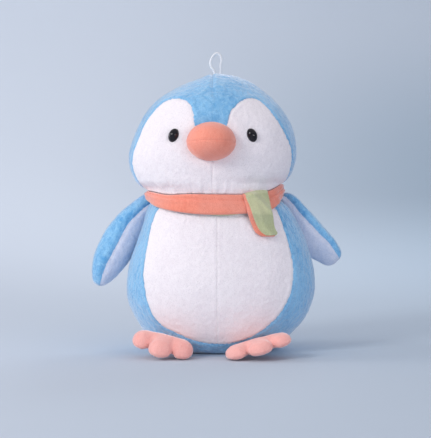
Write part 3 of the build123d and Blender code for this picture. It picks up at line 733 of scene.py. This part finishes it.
# ------------------------------------------------------------------ filling, inside the skins
def filling(name, prof, shrink, node, body):
    inner = []
    for z, l, r, f, b, cy in prof:
        inner.append((z, l, r, f, b, cy))
    p, t = lathe(inner, 5.0)
    n = vertex_normals(p, t)
    q = p - n * shrink + n * (0.9 * fbm(p / 11.0, 3))[:, None]
    ob = make_mesh(name, q, t)
    ob.data.materials.append(MAT_FILL)
    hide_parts(node)
    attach(ob, body)
    return ob


filling("body_fibrefill", BODY, 6.0, "body_stuffing", "torso")
filling("head_fibrefill", HEAD[:-2], 6.0, "head_stuffing", "head")


# ------------------------------------------------------------------ beak
def beak():
    n_ring, n_turn = ((54, 220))
    verts, index = [], []
    hw, hh, reach, back = 23.2, 18.6, 29.0, 8.0
    for i in range(n_ring + 1):
        s = i / n_ring                       # 0 at the tip, 1 at the rim tucked into the face
        a = s * (math.pi / 2 + 0.30)
        rho = math.sin(min(a, math.pi / 2)) ** 0.92
        if a > math.pi / 2:
            rho = 1.0 - 0.55 * (a - math.pi / 2) ** 1.6
        depth = math.cos(a)
        for j in range(n_turn):
            f = 2 * math.pi * j / n_turn
            cx, cz = math.cos(f), math.sin(f)
            hz = hh * (1.0 if cz > 0 else 0.98)
            x = BEAK_X + hw * rho * cx
            z = BEAK_Z + hz * rho * cz
            y = AXIS_Y - 66.0 - reach * (depth if depth > 0 else depth * 0.28) + 0.0
            verts.append((x, y, z))
    p = np.array(verts)
    # follow the roundness of the face behind
    bow = front_y(HEAD_F, p[:, 0], p[:, 2]) - front_y(HEAD_F, np.full(len(p), BEAK_X), np.full(len(p), BEAK_Z))
    share = np.hypot((p[:, 0] - BEAK_X) / hw, (p[:, 2] - BEAK_Z) / hh)
    p[:, 1] += bow * smooth(0.2, 1.0, share)
    tri = []
    for i in range(n_ring):
        for j in range(n_turn):
            k = (j + 1) % n_turn
            a, b, c, d = i * n_turn + j, i * n_turn + k, (i + 1) * n_turn + k, (i + 1) * n_turn + j
            if i == 0:
                tri.append((a, d, c))
            else:
                tri += [(a, d, c), (a, c, b)]
    t = np.array(tri)
    # join the tip ring to one point
    p[:n_turn] = p[:n_turn].mean(0)
    return p, t


p, t = beak()
n = vertex_normals(p, t)
n[:220] = (0, -1, 0)
seam_z = BEAK_SEAM + 0.4 * np.cos((p[:, 0] - BEAK_X) / 12.0)
f = p[:, 2] - seam_z
attr_b = np.hstack([p, n, f[:, None]])
attr_b, up, down = cut(attr_b, t, f)
for name, tt, node in (("beak_velvet_upper", up, "beak_upper"), ("beak_velvet_lower", down, "beak_lower")):
    a3, t3 = compress(attr_b, tt)
    pp, nn, dd = a3[:, :3], a3[:, 3:6], np.abs(a3[:, 6])
    h = seam_relief(dd, 0.26, 0.7, 0.12) + 0.20 * perlin(pp / 9.0) + 0.05 * perlin(pp / 2.6)
    # small puckers drawn into the seam
    h += 0.14 * perlin(np.stack([pp[:, 0] / 2.4, dd * 0.05, pp[:, 1] / 9], 1)) * bell(dd, 4.0)
    v = pp + nn * h[:, None]
    ob = panel(name, v, t3, MAT_CORAL, "coral_velvet", [node], "head", 1.6, nn)
q = np.array(p)
c = np.array([BEAK_X, AXIS_Y - 70.0, BEAK_Z])
ob = make_mesh("beak_fibrefill", c + (q - c) * 0.84, [tuple(x) for x in t])
ob.data.materials.append(MAT_FILL)
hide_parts("beak_stuffing"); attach(ob, "head")


# ------------------------------------------------------------------ eyes
def eye(side):
    x, z, turn, lean = EYES[side]
    out = Vector((math.sin(math.radians(turn)), -math.cos(math.radians(turn)), 0.13)).normalized()
    across = Vector((math.cos(math.radians(turn)), math.sin(math.radians(turn)), 0)).normalized()
    up = out.cross(across)
    up = up if up.z > 0 else -up
    a = math.radians(lean)
    ax = across * math.cos(a) + up * math.sin(a)
    uz = up * math.cos(a) - across * math.sin(a)
    y = float(front_y(HEAD_F, np.array([x]), np.array([z]))[0])
    centre = Vector((x, y, z)) - out * 1.4
    rows = []
    n_turn, n_dome = 56, 16
    hw, hh, rise = 5.0, 6.8, 5.4
    for i in range(n_dome + 1):
        a = i / n_dome * math.pi / 2
        rows.append((math.cos(a), math.sin(a) * rise))
    rows = [(0.30, -9.0), (0.34, -8.6), (0.34, -1.6), (0.86, -1.5), (0.985, -1.0)] + rows
    verts, faces = [], []
    for share, lift in rows[:-1]:
        for j in range(n_turn):
            f = 2 * math.pi * j / n_turn
            q = centre + ax * (hw * share * math.cos(f)) + uz * (hh * share * math.sin(f)) + out * lift
            verts.append(q)
    verts.append(centre + out * rows[-1][1])
    verts.append(centre + out * rows[0][1])
    m = len(rows) - 1
    for i in range(m - 1):
        for j in range(n_turn):
            k = (j + 1) % n_turn
            faces.append((i * n_turn + j, i * n_turn + k, (i + 1) * n_turn + k, (i + 1) * n_turn + j))
    for j in range(n_turn):
        k = (j + 1) % n_turn
        faces.append(((m - 1) * n_turn + j, (m - 1) * n_turn + k, len(verts) - 2))
        faces.append((k, j, len(verts) - 1))
    ob = make_mesh(f"eye_dome_{side}", [tuple(q) for q in verts], faces)
    ob.data.materials.append(MAT_EYE)
    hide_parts(f"eye_{side}"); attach(ob, "head")
    # washer behind the cloth
    verts, faces = [], []
    ring = [(3.2, -5.6), (6.6, -5.6), (6.9, -5.9), (6.9, -6.7), (6.6, -7.0), (3.2, -7.0)]
    for r, lift in ring:
        for j in range(48):
            f = 2 * math.pi * j / 48
            verts.append(tuple(centre + ax * (r * math.cos(f)) + uz * (r * math.sin(f)) + out * lift))
    for i in range(len(ring)):
        for j in range(48):
            k, i2 = (j + 1) % 48, (i + 1) % len(ring)
            faces.append((i * 48 + j, i2 * 48 + j, i2 * 48 + k, i * 48 + k))
    w = make_mesh(f"washer_{side}", verts, faces)
    w.data.materials.append(MAT_WASHER)
    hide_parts(f"eye_washer_{side}"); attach(w, "head")


eye("left")
eye("right")

# ------------------------------------------------------------------ flippers
FLIPPERS = {
    "left": {
        # outer edge, inner edge, half thickness, seam line
        "outer": [(-65.5, 158.0), (-76.0, 153.5), (-90.0, 142.8), (-102.0, 131.3), (-111.5, 118.5), (-118.5, 106.0),
                  (-123.4, 93.5), (-125.8, 81.0), (-126.0, 72.5), (-124.2, 66.0), (-120.5, 62.8)],
        "inner": [(-63.0, 143.0), (-64.5, 135.5), (-70.0, 121.5), (-75.5, 110.0), (-80.5, 100.0), (-86.0, 90.3),
                  (-93.5, 80.0), (-101.0, 71.6), (-107.0, 66.0), (-112.5, 62.8), (-117.0, 61.9)],
        "thick": [8.0, 10.0, 12.0, 13.5, 14.5, 14.6, 14.0, 12.4, 10.2, 7.2, 3.2],
        "seam": [(-66.0, 145.5), (-68.5, 144.0), (-79.5, 134.4), (-88.0, 125.3), (-93.5, 115.5), (-100.0, 103.0),
                 (-104.8, 94.0), (-109.0, 86.0), (-113.5, 75.5), (-116.5, 65.0), (-118.5, 58.0)],
    },
    "right": {
        "outer": [(67.0, 156.3), (75.0, 155.4), (82.0, 151.0), (90.0, 142.2), (98.0, 133.4), (106.0, 124.4),
                  (113.8, 115.5), (120.4, 106.8), (124.8, 99.8), (126.0, 94.6), (124.8, 90.4)],
        "inner": [(63.6, 144.5), (64.4, 136.4), (68.5, 124.5), (74.0, 114.5), (80.0, 105.0), (86.0, 97.5),
                  (92.5, 92.0), (99.5, 87.8), (106.5, 84.4), (113.2, 82.6), (119.4, 84.6)],
        "thick": [8.0, 9.5, 11.5, 13.0, 14.0, 14.3, 13.8, 12.2, 9.8, 7.0, 3.2],
        "seam": [(64.0, 156.0), (68.0, 153.0), (74.5, 147.0), (81.5, 138.4), (89.0, 130.0), (97.5, 121.0),
                 (106.5, 112.0), (113.5, 105.0), (118.5, 97.6), (122.8, 91.5), (126.5, 85.5)],
    },
}
FLIPPER_Y = AXIS_Y + 9.0


def flipper(side):
    spec = FLIPPERS[side]
    t = np.arange(len(spec["outer"]))
    o, i = np.array(spec["outer"]), np.array(spec["inner"])
    fo = [spline(t, o[:, k]) for k in (0, 1)]
    fi = [spline(t, i[:, k]) for k in (0, 1)]
    ft = spline(t, spec["thick"])
    step = GRAIN * 0.95
    n_row, n_turn = int(118 / step), int(100 / step / 2) * 2
    s = np.linspace(0, t[-1], n_row + 1)[:, None]
    ox, oz, ix, iz, th = fo[0](s), fo[1](s), fi[0](s), fi[1](s), ft(s)
    a = (np.arange(n_turn) / n_turn * 2 * math.pi)[None, :]
    u = np.cos(a) + 0 * s
    w = np.sign(np.sin(a)) * np.abs(np.sin(a)) ** 0.92
    mx, mz, hx, hz = (ox + ix) / 2, (oz + iz) / 2, (ox - ix) / 2, (oz - iz) / 2
    stitched = curve_through(spec["seam"], 0.5)
    at_seam = np.zeros((n_row + 1, 1))
    for row in range(n_row + 1):
        h2 = hx[row, 0] ** 2 + hz[row, 0] ** 2
        dx, dz = stitched[:, 0] - mx[row, 0], stitched[:, 1] - mz[row, 0]
        along = (dx * hx[row, 0] + dz * hz[row, 0]) / h2
        off = np.abs(dx * hz[row, 0] - dz * hx[row, 0]) / math.sqrt(h2) + 3.0 * np.maximum(0, np.abs(along) - 1.2)
        at_seam[row, 0] = np.clip(along[off.argmin()], -0.3, 0.42)
    kernel = np.ones(9) / 9
    at_seam[:, 0] = np.convolve(np.pad(at_seam[:, 0], 4, mode="edge"), kernel, mode="valid")
    u = u + at_seam * (1 - u * u)
    p = np.stack([mx + hx * u, FLIPPER_Y + 2.0 * (s / t[-1]) - th * w, mz + hz * u], axis=2).reshape(-1, 3)
    tri = []
    r = np.arange(n_row)[:, None] * n_turn
    j = np.arange(n_turn)[None, :]
    k = (j + 1) % n_turn
    a0, a1, b0, b1 = (r + j).ravel(), (r + k).ravel(), (r + n_turn + j).ravel(), (r + n_turn + k).ravel()
    tri = np.vstack([np.stack([a0, b1, a1], 1), np.stack([a0, b0, b1], 1)])
    c0, c1 = p[:n_turn].mean(0), p[-n_turn:].mean(0)
    tip_out = (c1 - p[-2 * n_turn:-n_turn].mean(0))
    p = np.vstack([p, [c0], [c1 + tip_out * 0.6]])
    jj, kk = j.ravel(), k.ravel()
    tri = np.vstack([tri, np.stack([np.full(n_turn, len(p) - 2), jj, kk], 1),
                     np.stack([np.full(n_turn, len(p) - 1), n_row * n_turn + kk, n_row * n_turn + jj], 1)])
    n = vertex_normals(p, tri)
    if np.sum(n * (p - p.mean(0))) < 0:
        tri = tri[:, ::-1]
        n = -n
    seam = curve_through(spec["seam"], 1.0)
    # signed distance to the seam in front view, positive on the outer side
    d2 = ((p[:, None, [0, 2]] - seam[None, :, :]) ** 2).sum(2)
    at = d2.argmin(1)
    tang = np.gradient(seam, axis=0)
    tang /= np.linalg.norm(tang, axis=1, keepdims=True)
    rel = p[:, [0, 2]] - seam[at]
    sign = rel[:, 0] * tang[at, 1] - rel[:, 1] * tang[at, 0]
    outward = 1 if side == "left" else -1
    f = np.sqrt(d2.min(1)) * np.sign(sign) * outward
    probe = np.array([o[5][0], o[5][1]]) - seam[np.argmin(((seam - o[5]) ** 2).sum(1))]
    tp = tang[np.argmin(((seam - o[5]) ** 2).sum(1))]
    if (probe[0] * tp[1] - probe[1] * tp[0]) * outward < 0:
        f = -f
    d = np.abs(f)
    att = np.hstack([p, n, d[:, None]])
    f = f + np.where(d < 8, ragged(p, 0.45), 0)
    att, outer, inner = cut(att, tri, f)
    for name, tt, mat, slot_name, node, blue_side in (
            (f"flipper_{side}_plush_outer", outer, MAT_BLUE, "blue_plush", f"flipper_{side}_outer", True),
            (f"flipper_{side}_plush_inner", inner, MAT_PALE, "pale_plush", f"flipper_{side}_inner", False)):
        a3, t3 = compress(att, tt)
        pp, nn, dd = a3[:, :3], a3[:, 3:6], a3[:, 6]
        nn = nn / np.linalg.norm(nn, axis=1, keepdims=True)
        fade = smooth(5.0, 26.0, np.linalg.norm(pp - c1, axis=1))
        h = pile(pp, 0.62) + seam_relief(dd, 1.7 if blue_side else 1.4, 1.8, 0.8 if blue_side else 0.4) * fade
        h += 0.45 * perlin(np.stack([pp[:, 0] / 4, pp[:, 1] / 9, pp[:, 2] / 4], 1)) * bell(dd - 2, 5.0) * fade
        v = pp + nn * h[:, None]
        ob = panel(name, v, t3, mat, slot_name, [node], f"flipper_{side}", 2.0, nn)
    c = p.mean(0)
    m = p - n * 4.5
    ob = make_mesh(f"flipper_{side}_fibrefill", m, [tuple(x) for x in tri])
    ob.data.materials.append(MAT_FILL)
    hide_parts(f"flipper_{side}_stuffing"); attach(ob, f"flipper_{side}")


flipper("left")
flipper("right")


# ------------------------------------------------------------------ feet
def rotate(v, axis, deg):
    v, k = np.array(v, float), np.array(axis, float)
    k = k / np.linalg.norm(k)
    a = math.radians(deg)
    return v * math.cos(a) + np.cross(k, v) * math.sin(a) + k * np.dot(k, v) * (1 - math.cos(a))


def foot_frame(origin, yaw, pitch, roll):
    across = rotate((1, 0, 0), (0, 0, 1), yaw)
    toes = rotate(rotate((0, -1, 0), (0, 0, 1), yaw), across, pitch)
    across = rotate(across, toes, roll)
    return np.array(origin), across, toes, np.cross(toes, across)


FEET = {
    # origin, yaw, pitch, roll; u to the right, v towards the toes
    "left": ((-45.5, AXIS_Y - 45.5, 19.2), -10.0, 5.0, -13.0),
    "right": ((35.2, AXIS_Y - 52.0, 14.8), 8.0, 1.0, 14.5),
}
FOOT_OUTLINE = [(-20.0, 2.0), (-25.0, 9.0), (-26.5, 15.0), (-28.6, 20.5), (-29.0, 27.0), (-26.0, 33.5), (-20.5, 36.6),
                (-14.5, 36.0), (-11.4, 33.2), (-10.6, 36.5), (-7.6, 41.5), (-2.0, 44.2), (3.6, 43.6), (8.6, 40.4),
                (10.6, 36.0), (11.2, 33.4), (14.6, 36.4), (20.0, 37.6), (25.6, 35.0), (28.8, 29.4), (28.8, 22.6),
                (26.4, 16.0), (24.8, 9.0), (19.5, 1.8), (10.0, -2.2), (0.0, -3.2), (-10.5, -2.0)]


def foot(side):
    origin, across, toes, up = foot_frame(*FEET[side])
    wide, droop = (1.0, 4.6) if side == "left" else (1.08, 1.6)
    line = curve_through(np.array(FOOT_OUTLINE) * (wide, 1.0), 0.5, closed=True)
    centre = np.array([0.0, 17.0])
    n_turn = 300
    # even steps round the outline
    seg = np.linalg.norm(np.roll(line, -1, 0) - line, axis=1)
    cum = np.concatenate([[0], np.cumsum(seg)])
    at = np.linspace(0, cum[-1], n_turn, endpoint=False)
    closed = np.vstack([line, line[:1]])
    rim = np.stack([np.interp(at, cum, closed[:, k]) for k in (0, 1)], 1)
    n_ring = 44
    verts = []
    ring_share = [(1 - (i / n_ring)) for i in range(n_ring)]
    for sh in ring_share:
        verts.append(centre + (rim - centre) * (sh ** 0.8))
    flat = np.vstack(verts + [centre[None, :]])
    d = distance_to(flat, line)
    d[:n_turn] = 0
    thick, reach = (8.2, 11.0) if side == "left" else (6.9, 10.5)
    q = np.clip(d / reach, 0, 1)
    h = thick * np.sqrt(np.maximum(0, 1 - (1 - q) ** 2)) ** 0.9
    # creases run back from the notches between the toes
    for (ux, uv), (vx, vv) in (((-11.2 * wide, 34.0), (-9.2, 23.0)), ((11.2 * wide, 34.0), (9.2, 23.0))):
        a, b = np.array([ux, uv]), np.array([vx, vv])
        ab = b - a
        tt = np.clip(((flat - a) @ ab) / (ab @ ab), 0, 1)
        dd = np.linalg.norm(flat - (a + tt[:, None] * ab), axis=1)
        h -= 1.7 * bell(dd, 2.8) * (1 - 0.9 * tt) * np.minimum(1, d / 2.5)
    h += 0.6 * bell(np.hypot(flat[:, 0], flat[:, 1] - 22), 12)
    h *= 0.15 + 0.85 * smooth(-1.0, 25.0, flat[:, 1])
    tri = []
    for i in range(n_ring - 1):
        for j in range(n_turn):
            k = (j + 1) % n_turn
            a, b, c, e = i * n_turn + j, i * n_turn + k, (i + 1) * n_turn + k, (i + 1) * n_turn + j
            tri += [(a, b, c), (a, c, e)]
    i = n_ring - 1
    for j in range(n_turn):
        tri.append((i * n_turn + j, i * n_turn + (j + 1) % n_turn, len(flat) - 1))
    tri = np.array(tri)

    bend = -droop * (flat[:, 1] / 36.0) ** 2

    def place(hh):
        return origin + flat[:, :1] * across + flat[:, 1:2] * toes + (hh + bend)[:, None] * up

    origin = origin - np.array([0, 0, place(-h * 0.70)[:, 2].min() - 0.35])

    wob = 0.30 * perlin(np.column_stack([flat / 8.0, flat[:, 0] * 0 + (3 if side == "left" else 8)]))
    pucker = 0.5 * perlin(np.column_stack([flat / 2.6, flat[:, 0] * 0])) * bell(d - 1.5, 2.5)
    for part, sgn in (("upper", 1.0), ("sole", -1.0)):
        hh = sgn * (h * (1.12 if sgn > 0 else 0.68) + (wob + pucker) * np.minimum(1, d / 2.0))
        v = place(hh)
        v[:, 2] = np.maximum(v[:, 2], 0.05)
        tt = tri if sgn > 0 else tri[:, ::-1]
        nn = vertex_normals(v, tt)
        if np.dot(nn[-1], up) * sgn < 0:
            tt, nn = tt[:, ::-1], -nn
        v = v + nn * (0.10 * perlin(v / 2.4))[:, None]
        v[:, 2] = np.maximum(v[:, 2], 0.02)
        ob = make_mesh(f"foot_{side}_velvet_{part}", v, [tuple(x) for x in tt])
        ob.data.materials.append(MAT_FOOT)
        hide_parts(f"foot_{side}_{part}"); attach(ob, f"foot_{side}")
    vv = np.vstack([place(h * 0.78), place(-h * 0.42)])
    faces = [tuple(x) for x in tri] + [tuple(x + len(flat)) for x in tri[:, ::-1]]
    vv = origin + 17 * toes + (vv - origin - 17 * toes) * 0.94
    ob = make_mesh(f"foot_{side}_fibrefill", vv, faces)
    ob.data.materials.append(MAT_FILL)
    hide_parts(f"foot_{side}_stuffing"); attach(ob, f"foot_{side}")


foot("left")
foot("right")


# ------------------------------------------------------------------ scarf
def ring_sheet(name, section, material, node, n_turn):
    """section(angle) gives a closed list of (outward, z) points; they follow the neck."""
    verts, faces = [], []
    m = None
    for j in range(n_turn):
        a = 2 * math.pi * j / n_turn
        pts_ = section(a)
        m = len(pts_)
        for w, d, cx, z in pts_:
            verts.append((cx + w * math.sin(a), AXIS_Y - d * math.cos(a), z))
    for j in range(n_turn):
        k = (j + 1) % n_turn
        for i in range(m):
            i2 = (i + 1) % m
            faces.append((j * m + i, k * m + i, k * m + i2, j * m + i2))
    v = np.array(verts)
    ob = make_mesh(name, v, faces)
    bm = bmesh.new()
    bm.from_mesh(ob.data)
    bmesh.ops.recalc_face_normals(bm, faces=bm.faces)
    bm.to_mesh(ob.data)
    bm.free()
    ob.data.materials.append(material)
    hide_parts(node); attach(ob, "torso")
    return ob


def band_section(a, gap, thick, low_drop, high_drop, fold=0.0):
    deg = (math.degrees(a) + 180) % 360 - 180
    lo, hi = float(_bl(deg)) + low_drop, float(_bh(deg)) - high_drop
    if low_drop < 0:
        lo += 2.0 * (1.0 - math.exp(-((deg - 4.0) / 16.0) ** 2))
    pts_ = []
    n = 22
    q = np.array([[math.cos(a) * 6, math.sin(a) * 6, 1.0], [math.cos(a) * 16, math.sin(a) * 16, 4.0],
                  [math.cos(a) * 5, math.sin(a) * 5, 9.0]])
    wob = perlin(q)
    for i in range(n + 1):                   # up the outside
        s = i / n
        z = lo + (hi - lo) * s
        e = min(s, 1 - s)
        round_ = math.sqrt(max(0.0, 1 - (1 - min(1, e / 0.16)) ** 2))
        bulge = 1.5 * math.sin(math.pi * s) ** 0.8
        line = 0.74 - 0.13 * math.sin(math.radians(deg + 15)) + 0.04 * wob[2]
        crease = fold * (1.3 * math.exp(-((s - line) / 0.065) ** 2)
                         - 0.8 * math.exp(-((s - line + 0.16) / 0.13) ** 2)) * (0.95 + 0.3 * wob[0])
        ripple = 0.2 * wob[1] * (1 - 0.5 * s) + 0.5 * wob[0]
        g = gap + thick * (0.35 + 0.65 * round_) + bulge * fold - crease + ripple * fold
        pts_.append((float(NECK(z)) + g, float(NECK_D(z)) + g, float(NECK_X(z)), z))
    for i in range(n + 1):                   # and down the inside
        s = 1 - i / n
        z = lo + (hi - lo) * s
        g = gap + 0.15 * thick
        pts_.append((float(NECK(z)) + g - 0.0, float(NECK_D(z)) + g, float(NECK_X(z)), z + (0.0)))
    return pts_


n_turn = 360
ring_sheet("scarf_band_cloth", lambda a: band_section(a, 1.5, 2.6, 0.0, 0.0, 1.0), MAT_SCARF,
           "scarf_band", n_turn)
ring_sheet("scarf_lining_cloth", lambda a: band_section(a, 0.2, 1.7, -0.9, 1.2), MAT_GREEN,
           "scarf_lining", n_turn)

# the hanging end
TAIL = {
    # rows from the fold at the top to the bottom: (left x, right x, z)
    "green": [(26.2, 48.6, 157.6), (27.0, 49.4, 153.5), (28.6, 50.6, 148.0), (30.6, 51.6, 142.0), (32.6, 52.8, 136.0),
              (34.8, 53.8, 130.0), (37.4, 54.6, 124.0), (40.2, 56.2, 119.4), (43.0, 57.6, 116.6), (46.4, 55.8, 114.4)],
    "coral": [(24.6, 46.6, 157.2), (25.4, 47.4, 153.5), (26.4, 48.8, 148.0), (27.6, 50.0, 142.0), (29.0, 51.2, 136.0),
              (30.8, 52.2, 130.0), (33.2, 53.2, 124.0), (35.6, 54.6, 119.0), (38.2, 56.0, 115.8), (42.6, 54.2, 113.4)],
}


def tail_y(x, z, out):
    """How far forward the tail's back lies: over the band at the top, over the belly below."""
    belly = front_y(BODY_F, x, z, 1.2)
    zc = np.clip(z, 134, 168)
    w, d, cx = NECK(zc) + 5.4, NECK_D(zc) + 5.4, NECK_X(zc)
    u = np.clip((x - cx) / w, -1, 1)
    band = AXIS_Y - d * np.sqrt(1 - u * u)
    k = smooth(119.0, 139.0, z)
    return np.minimum(belly * (1 - k) + band * k, belly) - out


def tail_layer(name, key, out, thick, material, node):
    rows = np.array(TAIL[key], float)
    t = np.arange(len(rows))
    f = [spline(t, rows[:, k]) for k in range(3)]
    n_row, n_col = ((90, 54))
    s = np.linspace(0, t[-1], n_row + 1)[:, None]
    u = np.linspace(0, 1, n_col + 1)[None, :]
    x = f[0](s) * (1 - u) + f[1](s) * u
    sn = s / t[-1]
    z = f[2](s) - 3.6 * (1 - u) ** 1.5 * smooth(0.40, 0.0, sn) + 0.8 * np.sin(u * math.pi) * smooth(0.3, 0.0, sn)
    # diagonal folds running down from the knotless fold at the top left
    d1 = u - 0.26 - 1.75 * (sn - 0.06)
    d2 = u - 0.30 - 0.22 * sn
    folds = 1.9 * np.exp(-(d1 / 0.15) ** 2) - 1.5 * smooth(0.0, 0.26, d1) + 1.1 * np.exp(-(d2 / 0.15) ** 2) \
        - 1.5 * smooth(0.0, 0.35, u - 0.58) * smooth(0.40, 0.9, sn)
    if key == "coral":
        folds = 0.9 * np.exp(-((u - 0.10) / 0.12) ** 2) + 0 * sn
    y = tail_y(x, z, out) - folds - 0.4 * np.sin(u * math.pi) + 4.6 * smooth(0.10, 0.0, sn)
    front = np.stack([x, y, z], 2)
    e = np.minimum(np.minimum(u, 1 - u) * 22, np.minimum(sn * 44 + 0.2, (1 - sn) * 44))
    half = thick * (0.25 + 0.75 * np.sqrt(np.maximum(0, 1 - (1 - np.minimum(1, e / 1.4)) ** 2)))
    top = front - np.array([-0.45, 0.88, 0.0]) * (half[..., None])
    bot = front + np.array([-0.45, 0.88, 0.0]) * (half[..., None] * 0.4)
    nr, nc = n_row + 1, n_col + 1
    v = np.vstack([top.reshape(-1, 3), bot.reshape(-1, 3)])
    faces = []
    for i in range(n_row):
        for j in range(n_col):
            a, b, c, d = i * nc + j, i * nc + j + 1, (i + 1) * nc + j + 1, (i + 1) * nc + j
            faces.append((a, d, c, b))
            faces.append((a + nr * nc, b + nr * nc, c + nr * nc, d + nr * nc))
    ring = [j for j in range(nc)] + [i * nc + nc - 1 for i in range(1, nr)] \
        + [n_row * nc + j for j in range(nc - 2, -1, -1)] + [i * nc for i in range(nr - 2, 0, -1)]
    for a, b in zip(ring, ring[1:] + ring[:1]):
        faces.append((a, b, b + nr * nc, a + nr * nc))
    ob = make_mesh(name, v, faces)
    bm = bmesh.new()
    bm.from_mesh(ob.data)
    bmesh.ops.recalc_face_normals(bm, faces=bm.faces)
    bm.to_mesh(ob.data)
    bm.free()
    ob.data.materials.append(material)
    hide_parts(node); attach(ob, "scarf_tail")
    return ob


tail_layer("scarf_tail_coral", "coral", 0.9, 1.5, MAT_SCARF, "scarf_tail_back")
tail_layer("scarf_tail_green", "green", 2.6, 1.4, MAT_GREEN, "scarf_tail_front")

# ------------------------------------------------------------------ hang loop
LOOP = [(-1.1, 270.5), (-1.6, 277.0), (-6.6, 283.6), (-5.2, 291.3), (1.2, 297.4), (5.6, 290.6), (3.9, 283.5),
        (4.4, 277.0), (3.3, 270.5)]
curve = bpy.data.curves.new("hang_loop_cord", "CURVE")
curve.dimensions = "3D"
sp = curve.splines.new("NURBS")
sp.points.add(len(LOOP) - 1)
for pt, (x, z) in zip(sp.points, LOOP):
    pt.co = (x * 0.001, AXIS_Y * 0.001, z * 0.001, 1.0)
sp.order_u = 3
sp.use_endpoint_u = True
sp.resolution_u = 12
curve.bevel_depth = 0.00125
curve.bevel_resolution = 6
loop_ob = bpy.data.objects.new("hang_loop_cord", curve)
scene.collection.objects.link(loop_ob)
curve.materials.append(MAT_LOOP)
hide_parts("hang_loop")
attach(loop_ob, "head")

# ------------------------------------------------------------------ stage and light
def stage_mesh(name, verts, faces, material):
    mesh = bpy.data.meshes.new(name)
    mesh.from_pydata(verts, [], faces)
    mesh.update()
    mesh.shade_smooth()
    ob = bpy.data.objects.new(name, mesh)
    scene.collection.objects.link(ob)
    mesh.materials.append(material)
    return ob


# backdrop paper with a painted shadow: its colour darkens towards +x, to the right of the object in the main view
m, nodes, links = new_material("paper")
out = nodes.new("ShaderNodeOutputMaterial")
bsdf = nodes.new("ShaderNodeBsdfPrincipled")
links.new(bsdf.outputs[0], out.inputs[0])
coord = nodes.new("ShaderNodeTexCoord")
xyz = nodes.new("ShaderNodeSeparateXYZ")
links.new(coord.outputs["Object"], xyz.inputs[0])
# painted shadow: ramps from the plain paper colour on the left to a darker shade on the right
painted_shadow_side_ramp = nodes.new("ShaderNodeMapRange")
painted_shadow_side_ramp.interpolation_type = "SMOOTHSTEP"
painted_shadow_side_ramp.inputs["From Min"].default_value = -0.6
painted_shadow_side_ramp.inputs["From Max"].default_value = 1.1
links.new(xyz.outputs["X"], painted_shadow_side_ramp.inputs["Value"])
# colour A is the plain paper, colour B the painted shadow mixed over it
painted_shadow_tone = nodes.new("ShaderNodeMix")
painted_shadow_tone.data_type = "RGBA"
painted_shadow_tone.inputs["A"].default_value = (0.615, 0.675, 0.76, 1)
painted_shadow_tone.inputs["B"].default_value = (0.36, 0.46, 0.56, 1)
# the painted shadow fades out from 0.2 m to 1.0 m up the wall
rise = nodes.new("ShaderNodeMapRange")
rise.interpolation_type = "SMOOTHSTEP"
rise.inputs["From Min"].default_value = 0.2
rise.inputs["From Max"].default_value = 1.0
rise.inputs["To Min"].default_value = 1.0
rise.inputs["To Max"].default_value = 0.25
links.new(xyz.outputs["Z"], rise.inputs["Value"])
painted_shadow_mask = nodes.new("ShaderNodeMath")
painted_shadow_mask.operation = "MULTIPLY"
links.new(painted_shadow_side_ramp.outputs[0], painted_shadow_mask.inputs[0])
links.new(rise.outputs[0], painted_shadow_mask.inputs[1])
links.new(painted_shadow_mask.outputs[0], painted_shadow_tone.inputs["Factor"])
links.new(painted_shadow_tone.outputs["Result"], bsdf.inputs["Base Color"])
bsdf.inputs["Roughness"].default_value = 0.95
bsdf.inputs["Specular IOR Level"].default_value = 0.1
MAT_PAPER_PAINTED_SHADOW = m

# a round floor that sweeps up into a low wall, well clear of every camera
prof = [(0.0, 0.0), (0.4, 0.0), (0.8, 0.0)]
for i in range(1, 49):
    a = i / 48 * math.pi / 2
    prof.append((0.8 + 2.8 * math.sin(a), 1.5 - 1.5 * math.cos(a)))
prof += [(3.6, 2.1)]
verts, faces = [], []
ring_n = 128
for r, z in prof[1:]:
    for j in range(ring_n):
        a = 2 * math.pi * j / ring_n
        verts.append((r * math.cos(a), r * math.sin(a), z - 0.0002))
verts.append((0, 0, -0.0002))
for j in range(ring_n):
    faces.append((j, (j + 1) % ring_n, len(verts) - 1))
for i in range(len(prof) - 2):
    for j in range(ring_n):
        k = (j + 1) % ring_n
        faces.append((i * ring_n + j, (i + 1) * ring_n + j, (i + 1) * ring_n + k, i * ring_n + k))
# the sweep carries the paper's painted shadow on its right side
stage_mesh("sweep", verts, faces, MAT_PAPER_PAINTED_SHADOW)


def area(name, loc, target, size, power, colour, spread=180.0):
    data = bpy.data.lights.new(name, "AREA")
    data.shape = "RECTANGLE"
    data.size, data.size_y = size
    data.energy = power
    data.spread = math.radians(spread)
    data.color = colour
    ob = bpy.data.objects.new(name, data)
    scene.collection.objects.link(ob)
    ob.location = loc
    ob.rotation_mode = "QUATERNION"
    ob.rotation_quaternion = (Vector(target) - Vector(loc)).to_track_quat("-Z", "Y")
    return ob


area("key", (-1.12, -1.18, 0.85), (0, 0, 0.14), (0.5, 0.5), 4.45, (1.0, 0.985, 0.975), 110.0)
area("side", (-1.35, 0.05, 0.55), (0, 0, 0.14), (0.5, 0.8), 1.82, (1.0, 0.985, 0.98), 100.0)
area("fill", (1.1, -1.6, 0.22), (0, 0, 0.14), (1.2, 0.4), 12.0, (1.0, 0.95, 0.955))
area("back", (0.6, 1.3, 1.2), (0, 0, 0.14), (0.9, 0.9), 6.0, (0.97, 0.98, 1.0))
area("wall_wash", (-0.9, 1.2, 2.0), (-0.3, 3.5, 1.0), (1.6, 1.0), 27.0, (1.0, 0.98, 0.965))
world = bpy.data.worlds.new("world")
scene.world = world
world.use_nodes = True
bg = world.node_tree.nodes["Background"]
bg.inputs["Color"].default_value = (0.70, 0.69, 0.73, 1)
bg.inputs["Strength"].default_value = 0.80
scene.view_settings.view_transform = "Standard"
scene.view_settings.look = "None"
